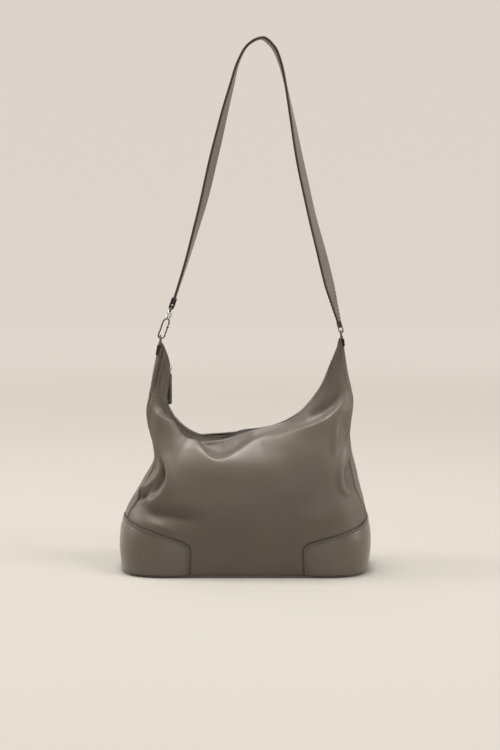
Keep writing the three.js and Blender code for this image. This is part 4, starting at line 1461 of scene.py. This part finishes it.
@dataclass
class Zip:
    """The curved zip: tapes, teeth, stops, slider and pull."""

    skin: Skin
    wires: Wires
    teeth: Teeth
    centre: tuple[float, float] = (-42 * MM, 268 * MM)
    radius: float = 76 * MM
    parked: float = 158.4
    half_end: float = 2.6 * MM
    half_middle: float = 8 * MM
    pitch: float = 2.3 * MM

    def _arc(self, degrees: float, radius: float | None = None) -> tuple[float, float, float]:
        """A point of the slider's run, from its angle."""
        a = math.radians(degrees)
        r = self.radius if radius is None else radius
        return (self.centre[0] + r * math.cos(a), 0.0, self.centre[1] + r * math.sin(a))

    def _line(self) -> Path:
        """The line of the teeth, down the left horn and up the right one."""
        run = [self._arc(a) for a in (164, 181, 198, 215, 232, 249, 266, 283, 300)]
        rest = [(x * MM, 0, z * MM) for x, z in ((30, 206), (64, 219), (93, 241), (112, 270), (125, 301))]
        return Path(run + rest)

    def _half(self, t: Array) -> Array:
        """Half the gap between the two rows of teeth."""
        return self.half_end + (self.half_middle - self.half_end) * np.sin(np.pi * t) ** 1.5

    def build(self) -> None:
        """Makes and places the whole zip."""
        line = self._line()
        t = np.linspace(0, 1, 161)
        track = line.at(t)
        for face in Face:
            name = face.name.lower()
            row = track.copy()
            row[:, 1] = face.value * (self._half(t) + 1.0 * MM)
            placed(
                self.teeth.build(f"{name}_teeth_row", row, self.pitch, SHADED_NICKEL),
                "bag", "pale_nickel", f"{name}_zip_teeth",
            )
            tape = self._tape(face, t, track, line.tangent(t))
            placed(dressed(tape, TAPE, TAPE), "bag", "zip_tape", f"{name}_zip_tape")
        for name, x, z, lean in (("left", -114.2, 305, 0), ("right", 126.2, 305, 25)):
            stop = self._stop(f"zip_{name}_stop_metal", x * MM, z * MM, math.radians(lean))
            placed(stop, "bag", "pale_nickel", f"zip_{name}_stop")
        self._slider()
        self._pull()

    def _tape(self, face: Face, t: Array, track: Array, tangent: Array) -> bpy.types.Object:
        """One tape, from under the teeth out to the facing below the mouth's edge."""
        choices = np.linspace(0.085, 0.915, 500) * (1 if face is Face.FRONT else -1)
        rim, normals, _ = self.skin.plain(choices, np.full(500, 0.985))
        rim = rim - normals * 3.0 * MM
        gaps = np.linalg.norm(rim[None, :, (0, 2)] - track[:, None, (0, 2)], axis=-1)
        far = rim[gaps.argmin(1)]
        for _ in range(12):
            far[1:-1] = (far[:-2] + far[1:-1] * 2 + far[2:]) / 4
        near = track.copy()
        near[:, 1] = face.value * (self._half(t) + 0.9 * MM)
        down = np.stack([tangent[:, 2], 0 * t, -tangent[:, 0]], -1)
        shares = np.linspace(0, 1, 9)
        grid = near[:, None] * (1 - shares[None, :, None]) + far[:, None] * shares[None, :, None]
        sag = (0.5 + 0.7 * np.sin(np.pi * shares)) * MM
        up = grid + down[:, None] * sag[None, :, None]
        low = up + down[:, None] * 0.5 * MM
        made = shell(f"{face.name.lower()}_tape_cloth", up, low)
        length = self._line().length
        flat = np.stack(np.broadcast_arrays(t[:, None] * length, shares[None, :] * 9 * MM), -1)
        flat = flat.reshape(-1, 2)
        with_cloth_map(made, np.concatenate([flat, flat]))
        return smooth(made, 60)

    @staticmethod
    def _stop(name: str, x: float, z: float, lean: float) -> bpy.types.Object:
        """A small crimped block across both tapes."""
        half = np.array((1.4, 3.2, 1.6)) * MM
        corners = np.array([(a, b, c) for a in (-1, 1) for b in (-1, 1) for c in (-1, 1)]) * half
        faces = [(0, 1, 3, 2), (4, 6, 7, 5), (0, 4, 5, 1), (2, 3, 7, 6), (0, 2, 6, 4), (1, 5, 7, 3)]
        made = new_object(name, corners @ leaning(lean).T + (x, 0, z), faces)
        outwards(made)
        return dressed(bevelled(made, 0.5 * MM, 3), PALE_NICKEL)

    def _slider_frame(self) -> tuple[Array, Array]:
        """The slider's own axes as columns, and its place."""
        a = math.radians(self.parked)
        along = np.array([-math.sin(a), 0, math.cos(a)])
        out = np.array([-math.cos(a), 0, -math.sin(a)])
        return np.stack([along, np.cross(out, along), out], 1), np.array(self._arc(self.parked))

    def _slider(self) -> None:
        """The slider: two plates, the wedge between them and the bridge."""
        axes, place = self._slider_frame()
        deck = (
            (-5.5, -2.6), (-2, -4.3), (4.5, -4.3), (5.5, -3), (5.5, 3), (4.5, 4.3), (-2, 4.3), (-5.5, 2.6),
        )
        wedge = ((2, -1), (5, -1), (5, 1), (2, 1))
        parts = [
            self._prism(deck, 1.7, 2.8, axes, place),
            self._prism(deck, -2.8, -1.7, axes, place),
            self._prism(wedge, -2, 2, axes, place),
        ]
        arch = [(-3.4, 2.7), (-3.3, 4.2), (-2.2, 5.45), (0, 5.6), (2.2, 5.45), (3.3, 4.2), (3.4, 2.7)]
        points = [place + axes @ (np.array((x, 0, z)) * MM) for x, z in arch]
        bridge = Band("slider_bridge", Path(points), 1.8 * MM, 1.1 * MM, 22, crown=0.0).build()
        bridge.data.polygons.foreach_set("material_index", [0] * len(bridge.data.polygons))
        slider = joined("zip_slider_metal", [*parts, bridge])
        placed(dressed(slider, PALE_NICKEL), "slider", "pale_nickel", "zip_slider")

    @staticmethod
    def _prism(
        outline: Sequence[Pair], low: float, high: float, axes: Array, place: Array
    ) -> bpy.types.Object:
        """A plate with rounded edges, in the slider's own axes."""
        n = len(outline)
        local = [(x, y, z) for z in (low, high) for x, y in outline]
        points = (np.array(local) * MM) @ axes.T + place
        faces = [list(range(n))[::-1], list(range(n, 2 * n))]
        faces += [[s, (s + 1) % n, n + (s + 1) % n, n + s] for s in range(n)]
        made = new_object("plate", points, faces)
        outwards(made)
        return bevelled(made, 0.3 * MM, 3, 25)

    def _pull(self) -> None:
        """The wire link on the bridge and the leather tab folded through it."""
        pivot = np.array(self._arc(self.parked, self.radius - 3.6 * MM))
        half, drop, corner, bow = 3.6, 9, 1.2, 0.25
        loop = (
            (-half + corner, -bow), (half - corner, -bow), (half, -corner), (half, -drop + corner),
            (half - corner, -drop), (-half + corner, -drop), (-half, -drop + corner), (-half, -corner),
        )
        path = Path([pivot + np.array((0, y, z)) * MM for y, z in loop], closed=True)
        link = self.wires.build("pull_link_wire", path, 0.6 * MM, 0.5 * MM, PALE_NICKEL)
        placed(link, "pull", "pale_nickel", "pull_link")
        fold = ((0.85, -52.6), (0.85, -30), (0.85, -14), (1.35, -10.6), (1.3, -8.2), (0, -7.2), (-1.3, -8.2),
                (-1.35, -10.6), (-0.85, -14), (-0.85, -30), (-0.85, -52.6))
        path = Path([pivot + np.array((x - 0.9, 0, z)) * MM for x, z in fold])

        def narrow(t: float) -> float:
            """Full width on the legs, slim through the link, rounded at the foot."""
            from_middle = abs(t - 0.5) * 2
            waist = 0.42 + 0.58 * float(smoothstep(0.05, 0.14, from_middle))
            foot = math.sqrt(max(0.0, 1 - max(0.0, (from_middle - 0.94) / 0.06) ** 2))
            return waist * (0.6 + 0.4 * foot)

        turn = math.radians(13)
        across = (math.sin(turn), math.cos(turn), 0.0)
        tab = Band("pull_tab_leather", path, 12 * MM, 1.5 * MM, 90, lambda t: across, narrow).build()
        placed(dressed(tab, BLACK, EDGE), "pull", "black_leather", "pull_tab")


# ------------------------------------------------------------------ strap and rings


@dataclass
class Carry:
    """The strap with its folded ends, the rings and the tabs on the horns."""

    skin: Skin
    wires: Wires
    stitches: Stitches
    ring_radii: dict[Side, float] = field(default_factory=lambda: {Side.LEFT: 9 * MM, Side.RIGHT: 7 * MM})
    ring_wire: float = 1.15 * MM
    width: float = 24 * MM
    thick: float = 3.4 * MM

    LINE = (
        (-105.5, 389.2), (-101.6, 400.1), (-84, 455), (-61, 535), (-41, 618), (-21, 697), (-9, 738),
        (5, 761), (25, 770), (41, 757), (50, 737), (60, 697), (76, 612), (93, 533), (113, 455),
        (130, 389), (135.8, 367.4), (139.2, 354.4),
    )

    @staticmethod
    def _turn(t: float) -> float:
        """How far the strap's width turns from straight back, in radians."""
        leg = math.sin(2 * math.pi * abs(t - 0.5)) ** 2
        if t > 0.75:
            return math.radians(27 + 9 * float(smoothstep(0.78, 0.9, t)))
        return math.radians(27 * leg - 8 * math.exp(-(((t - 0.5) / 0.09) ** 2)))

    def _across(self, t: float) -> Triple:
        """The direction of the strap's width."""
        return (math.sin(self._turn(t)), math.cos(self._turn(t)), 0.0)

    @staticmethod
    def _narrow(t: float) -> float:
        """The strap's width as a share, less where its right end is gathered."""
        return 1 - 0.68 * min(1.0, max(0.0, (t - 0.925) / 0.07))

    @staticmethod
    def _wrinkle(t: float, s: float) -> float:
        """Cross wrinkles near the gathered end, and a faint wave elsewhere."""
        near = 1.3 * float(smoothstep(0.91, 0.95, t)) * (1 - float(smoothstep(0.985, 1, t)))
        wave = math.sin(t * 900 + s * 9) * 0.45 + math.sin(t * 1570 - s * 14) * 0.25
        return (near * wave + 0.12 * math.sin(t * 60)) * MM

    def build(self) -> None:
        """Makes and places every piece of the strap, and both rings with their tabs."""
        path = Path([(x * MM, 0, z * MM) for x, z in self.LINE])
        strap = Band(
            "strap_band", path, self.width, self.thick, 420, self._across, self._narrow, self._wrinkle
        ).build()
        placed(dressed(strap, STRAP, EDGE), "strap", "strap_leather", "strap")
        self._strap_stitches(path)
        self._chape("left_chape_leather", EYE_BAR, HOOK_LEAN, (1.5, 2.4, 13, 23.4), "left_chape", EDGE)
        right, lean = np.array((140.4, 0, 350)) * MM, math.radians(-16)
        self._chape("right_chape_leather", right, lean, (2.2, 1.5, 14, 7.2), "right_chape", STRAP)
        tilt = RIGHT_RING - LEFT_RING
        tilt = tilt / np.linalg.norm(tilt)
        up = np.cross(tilt, (0, 1, 0))
        for side, centre in ((Side.LEFT, LEFT_RING), (Side.RIGHT, RIGHT_RING)):
            name = side.name.lower()
            angles = np.linspace(0, 2 * math.pi, 24, endpoint=False)
            points = [
                centre + self.ring_radii[side] * (math.cos(a) * np.array((0, 1, 0)) + math.sin(a) * up)
                for a in angles
            ]
            ring = self.wires.build(
                f"{name}_ring_wire", Path(points, closed=True), self.ring_wire, 0.9 * MM, DARK_NICKEL
            )
            placed(ring, f"{name}_ring", "dark_nickel", f"{name}_ring")
            self._horn_tab(side, centre)

    def _strap_stitches(self, path: Path) -> None:
        """A row of stitches along each edge of the strap, on both faces."""
        shares = np.linspace(0.012, 0.95, 360)
        centres, tangents = path.at(shares), path.tangent(shares)
        rows: list[Array] = []
        for sign in (-1, 1):
            for face_sign in (-1, 1):
                row = []
                for t, centre, tangent in zip(shares, centres, tangents):
                    wide, face = squared(self._across(float(t)), tangent)
                    x = sign * (self.width / 2 * self._narrow(float(t)) - 2.6 * MM)
                    rise = face_sign * self.thick / 2 * 1.03 + self._wrinkle(float(t), x / self.width)
                    row.append(centre + wide * x + face * rise)
                rows.append(np.array(row))
        placed(self.stitches.build("strap_stitching", rows, 3.6, 2.6, 0.6), "strap", "strap_leather")

    @staticmethod
    def _chape(
        name: str, place: Array, lean: float, sizes: tuple[float, ...], node: str, edge: Finish
    ) -> None:
        """Leather folded round a bar, its legs rising on both sides of the strap's end.

        Args:
            name: The piece's name.
            place: The middle of the bar.
            lean: How far the legs lean towards X, in radians.
            sizes: The fold's inner radius, the leather, the legs' length and the width, in millimetres.
            node: The frame's node that it stands for.
            edge: The finish of its cut edges.
        """
        inner, leather, length, width = sizes
        middle = inner + leather / 2
        legs = [(-middle, length), (-middle, length / 2), (-middle, 0)]
        bend = [(-middle * math.cos(a), -middle * math.sin(a)) for a in np.linspace(0, math.pi, 9)[1:-1]]
        outline = legs + bend + [(-x, z) for x, z in legs[::-1]]
        turn = leaning(lean)
        path = Path([place + turn @ (np.array((x, 0, z)) * MM) for x, z in outline])
        band = Band(name, path, width * MM, leather * MM, 60, crown=0.0).build()
        placed(dressed(band, STRAP, edge), "strap", "strap_leather", node)

    def _horn_tab(self, side: Side, ring: Array) -> None:
        """A strip over a ring's lower wire, with its outer leg down the horn's gusset."""
        sign = side.value
        clear = (0.35 + 0.9) * MM
        over = self.ring_wire + 0.91 * MM + 0.9 * MM
        bottom = ring[2] - self.ring_radii[side]
        end = 0.0 if side is Side.RIGHT else 1.0
        heights = np.array((0.985, 0.975, 0.965, 0.955 if side is Side.LEFT else 0.962))
        points, normals, _ = self.skin.plain(np.full(4, end), heights)
        leg = points + normals * clear
        top = [
            (ring[0] + sign * over * math.cos(a), 0.0, bottom + over * math.sin(a))
            for a in np.radians((180, 145, 90, 35))
        ]
        path = Path([(ring[0] - sign * 5 * MM, 0.0, bottom - 9 * MM), *top, *leg.tolist()])

        def narrow(t: float) -> float:
            """Slim inside the ring, full on the horn."""
            return 0.5 + 0.5 * float(smoothstep(0.45, 0.7, t))

        name = side.name.lower()
        tab = Band(
            f"{name}_horn_tab_leather", path, 11 * MM, 1.8 * MM, 60, narrow=narrow, crown=0.05
        ).build()
        placed(dressed(tab, TAUPE, EDGE), "bag", "strap_leather", f"{name}_horn_tab")


@dataclass
class SnapHook:
    """The oblong hook with its gate, its riveted swivel and the eye above it."""

    wires: Wires
    half: float = 6.0
    wire: float = 1.1
    top: float = 18.6
    bottom: float = 48.2

    @staticmethod
    def _set(points: Array, turned: bool = True) -> Array:
        """Moves points from the hook's own frame, in metres, to the bag's."""
        turn = HOOK_TURN if turned else 0.0
        c, s = math.cos(turn), math.sin(turn)
        about = np.array([[c, -s, 0], [s, c, 0], [0, 0, 1]])
        return np.asarray(points) @ (leaning(HOOK_LEAN) @ about).T + EYE_BAR

    def _drop(self, points: Sequence[Pair]) -> Array:
        """Points of the oblong, from their place across it and their drop in millimetres."""
        return self._set(np.array([(x, 0, -drop) for x, drop in points]) * MM)

    def build(self) -> None:
        """Makes and places the hook's pieces."""
        w = self.half
        outline = (
            (w, self.top + 9.2), (w, self.top + 6), (w * 0.7, self.top + 1.8), (0, self.top),
            (-w * 0.7, self.top + 1.8), (-w, self.top + 6), (-w, 35), (-w, self.bottom - 2.4),
            (-w + 2.4, self.bottom), (w - 2.4, self.bottom), (w, self.bottom - 2.4), (w, 42.6),
        )
        path = Path(self._drop(outline))
        frame = self.wires.build("hook_frame", path, self.wire * MM, 0.7 * MM, DARK_NICKEL)
        collar = lathe(
            "hook_collar",
            ((0, -7.6), (3.3, -7.6), (3.7, -8.0), (3.8, -8.5), (4.2, -8.9), (4.2, -10.2), (4.0, -10.5),
             (4.0, -14.5), (4.2, -14.8), (4.2, -16.1), (3.7, -16.6), (2.7, -16.8), (2.6, -18.2), (0, -18.8)),
            36,
            self._set,
        )
        dressed(collar, PALE_NICKEL)
        body = joined("hook_body_metal", [frame, collar])
        placed(body, "hook", "dark_nickel", "hook_body")
        drop = self.top + 9.2 + self.wire + 0.35
        path = Path(self._drop(((w, drop), (w, 36), (w, 42.2))))
        gate = self.wires.build("hook_gate_wire", path, 1.0 * MM, 0.8 * MM, DARK_NICKEL)
        knuckle = self._across_bar("hook_gate_eye", 1.9, 2.2, w, drop + 1)
        dressed(knuckle, DARK_NICKEL)
        placed(joined("hook_gate_metal", [gate, knuckle]), "gate", "dark_nickel", "hook_gate")
        pin = self._across_bar("hook_pin_metal", 0.6, 3.4, w, drop + 1)
        placed(dressed(pin, PALE_NICKEL), "hook", "pale_nickel", "hook_gate_pin")
        self._rivet()
        self._eye()

    def _across_bar(
        self, name: str, radius: float, length: float, x: float, drop: float
    ) -> bpy.types.Object:
        """A short round bar along the hook's own Y."""
        soft = radius * 0.25
        half = length / 2
        profile = ((0, half), (radius - soft, half), (radius, half - soft), (radius, -half + soft),
                   (radius - soft, -half), (0, -half))
        place = np.array((x, 0, -drop)) * MM
        return lathe(name, profile, 24, lambda p: self._set(p[:, (0, 2, 1)] * (1, 1, -1) + place))

    def _rivet(self) -> None:
        """The domed rivet on the collar's front."""
        place = np.array((0, -5.0, -12.9)) * MM
        profile = ((0, -0.5), (1.0, -0.42), (1.7, -0.15), (2.1, 0.25), (2.1, 0.6), (0, 0.6))
        rivet = lathe("swivel_rivet_metal", profile, 28, lambda p: self._set(p[:, (0, 2, 1)] + place))
        placed(dressed(rivet, PALE_NICKEL), "hook", "pale_nickel", "swivel_rivet")

    def _eye(self) -> None:
        """The eye's loop across the folded leather, with its post down into the collar."""
        y, c, drop = 13.8, 1.6, 6
        loop = ((-y + c, 0), (y - c, 0), (y, -c), (y, -drop + c), (y - c, -drop), (-y + c, -drop),
                (-y, -drop + c), (-y, -c))
        points = self._set(np.array([(0, a, z) for a, z in loop]) * MM, False)
        eye = self.wires.build("swivel_eye_loop", Path(points, closed=True), 1.3 * MM, 0.8 * MM, DARK_NICKEL)
        post = lathe(
            "swivel_post",
            ((0, -5.5), (1.5, -5.7), (1.7, -6.2), (1.7, -12.6), (1.4, -13), (0, -13)),
            24,
            lambda p: self._set(p, False),
        )
        dressed(post, DARK_NICKEL)
        placed(joined("swivel_eye_metal", [eye, post]), "strap", "dark_nickel", "swivel_eye")


# ------------------------------------------------------------------ studio


@dataclass
class Studio:
    """Camera, soft lights and a plain pale floor that curves up into a wall all round."""

    eye: Triple = (0.0073, -2.25, 0.54)
    pitch: float = 6.47
    lens: float = 74.16
    paper: Triple = (0.40, 0.377, 0.345)
    lit: Triple = (0.66, 0.598, 0.543)

    def camera(self) -> None:
        """Places the camera and makes it the scene's."""
        data = bpy.data.cameras.new("camera")
        data.lens = self.lens
        data.sensor_width = 36
        camera = bpy.data.objects.new("camera", data)
        camera.location = self.eye
        camera.rotation_euler = (math.radians(90 - self.pitch), 0, 0)
        bpy.context.scene.collection.objects.link(camera)
        bpy.context.scene.camera = camera
        bpy.context.scene.view_settings.view_transform = "Standard"

    def floor(self) -> None:
        """Makes the round floor and wall."""
        flat, bend, top = 4.2, 1.6, 4.5
        profile = [(r, 0.0) for r in (0.001, 0.6, 1.4, 2.6, 3.6)]
        curve = np.linspace(0, math.pi / 2, 14)
        profile += [(flat + bend * math.sin(a), bend * (1 - math.cos(a))) for a in curve]
        profile.append((flat + bend, top))
        around = 96
        angles = np.linspace(0, 2 * math.pi, around, endpoint=False)
        points = [(r * math.cos(a), r * math.sin(a), z - 0.0004) for r, z in profile for a in angles]
        faces = []
        for k in range(len(profile) - 1):
            for s in range(around):
                t = (s + 1) % around
                faces.append([k * around + s, k * around + t, (k + 1) * around + t, (k + 1) * around + s])
        faces.append(list(range(around))[::-1])
        floor = smooth(new_object("studio_floor", np.array(points), faces), 60)
        g, shader = new_surface("studio_paper")
        where = g.place()
        haze = g.noise(where, 1.3, 2.0)
        out = g.node("ShaderNodeVectorMath", {"operation": "LENGTH"}, {0: where})["Value"]
        rise = g.node(
            "ShaderNodeMapRange", {"interpolation_type": "SMOOTHSTEP"}, {"Value": out, 1: 0.5, 2: 3.4}
        )[0]
        near = g.mix(haze, shade(self.paper, 0.985), shade(self.paper, 1.015))
        colour = g.mix(rise, near, shade(self.paper, 0.16))
        ahead = g.node("ShaderNodeSeparateXYZ", None, {0: where})[1]
        open_side = g.node(
            "ShaderNodeMapRange", {"interpolation_type": "SMOOTHSTEP"}, {"Value": ahead, 1: -5.0, 2: -1.2}
        )[0]
        wall = g.mix(open_side, shade(self.lit, 0.55), shade(self.lit, 1.0))
        glow = g.mix(rise, (0, 0, 0, 1), wall)
        g.feed(shader, "Base Color", colour)
        g.feed(shader, "Emission Color", glow)
        shader.inputs["Emission Strength"].default_value = 1.0
        shader.inputs["Roughness"].default_value = 0.95
        shader.inputs["Specular IOR Level"].default_value = 0.1
        floor.data.materials.append(bpy.data.materials["studio_paper"])

    def lights(self) -> None:
        """Places the soft lights and the even light of the room."""
        world = bpy.data.worlds.new("room")
        world.use_nodes = True
        air = world.node_tree.nodes["Background"]
        air.inputs["Color"].default_value = (1.0, 0.985, 0.965, 1)
        air.inputs["Strength"].default_value = 0.15
        bpy.context.scene.world = world
        for name, place, size, power, tint in (
            ("key", (2.4, -1.0, 3.8), 1.4, 80.0, (1.0, 0.985, 0.96)),
            ("top", (-0.4, 0.2, 4.2), 1.8, 215.0, (1.0, 0.985, 0.96)),
            ("left", (-3.3, 0.2, 2.3), 1.6, 58.0, (1.0, 0.98, 0.95)),
            ("right", (3.5, -0.9, 1.3), 1.6, 30.0, (1.0, 0.98, 0.95)),
            ("card", (0.8, -3.9, 0.95), 0.9, 13.0, (0.80, 0.91, 1.0)),
        ):
            data = bpy.data.lights.new(name, "AREA")
            data.energy = power
            data.size = size
            data.color = tint
            lamp = bpy.data.objects.new(name, data)
            lamp.location = place
            aim = np.array((0, 0, 0.25)) - np.array(place)
            flat = math.hypot(aim[0], aim[1])
            lamp.rotation_euler = (math.atan2(flat, -aim[2]), 0, math.atan2(aim[1], aim[0]) - math.pi / 2)
            bpy.context.scene.collection.objects.link(lamp)


# ------------------------------------------------------------------ the whole bag


def seam_rows(skin: Skin, side: Side) -> list[Array]:
    """The rows of stitches beside one end's two seams, from the boot's top to the horn."""
    rows: list[Array] = []
    v = np.linspace(0.0, 0.985, 260)
    for face in Face:
        seam = SEAM if side is Side.RIGHT else 1 - SEAM
        toward = 1 if side is Side.RIGHT else -1
        _, _, pace = skin.plain(np.full_like(v, seam), v)
        u = (seam + toward * 2.6 * MM / (LAST_RIB * pace)) * -face.value
        points, normals, _, _ = skin.formed(u, v)
        keep = skin.boot_gap(points) > 1.5 * MM
        rows.append((points + normals * 0.12 * MM)[keep])
    return rows


def rim_rows(skin: Skin) -> list[Array]:
    """The row of stitches below the mouth's edge, front and back."""
    rows: list[Array] = []
    for face in Face:
        u = np.linspace(SEAM + 0.012, 1 - SEAM - 0.012, 400) * -face.value
        points, normals, _, _ = skin.formed(u, np.full_like(u, 0.965))
        rows.append(points + normals * 0.12 * MM)
    return rows


def main() -> None:
    """Builds the studio and then the bag, piece by piece."""
    logging.basicConfig(level=logging.INFO, format="%(name)s: %(message)s")
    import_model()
    studio = Studio()
    studio.camera()
    studio.floor()
    studio.lights()
    skin = Skin()
    wires, stitches, teeth = Wires(), Stitches(), Teeth()
    BodyShell(skin).build()
    Boots(skin, stitches).build()
    Base(skin).build()
    rows = seam_rows(skin, Side.RIGHT) + seam_rows(skin, Side.LEFT) + rim_rows(skin)
    placed(stitches.build("body_stitching", rows, 3.4, 2.5, 0.6), "bag", "body_leather")
    Inside(skin).build()
    Zip(skin, wires, teeth).build()
    Carry(skin, wires, stitches).build()
    SnapHook(wires).build()


if __name__ == "__main__":
    main()
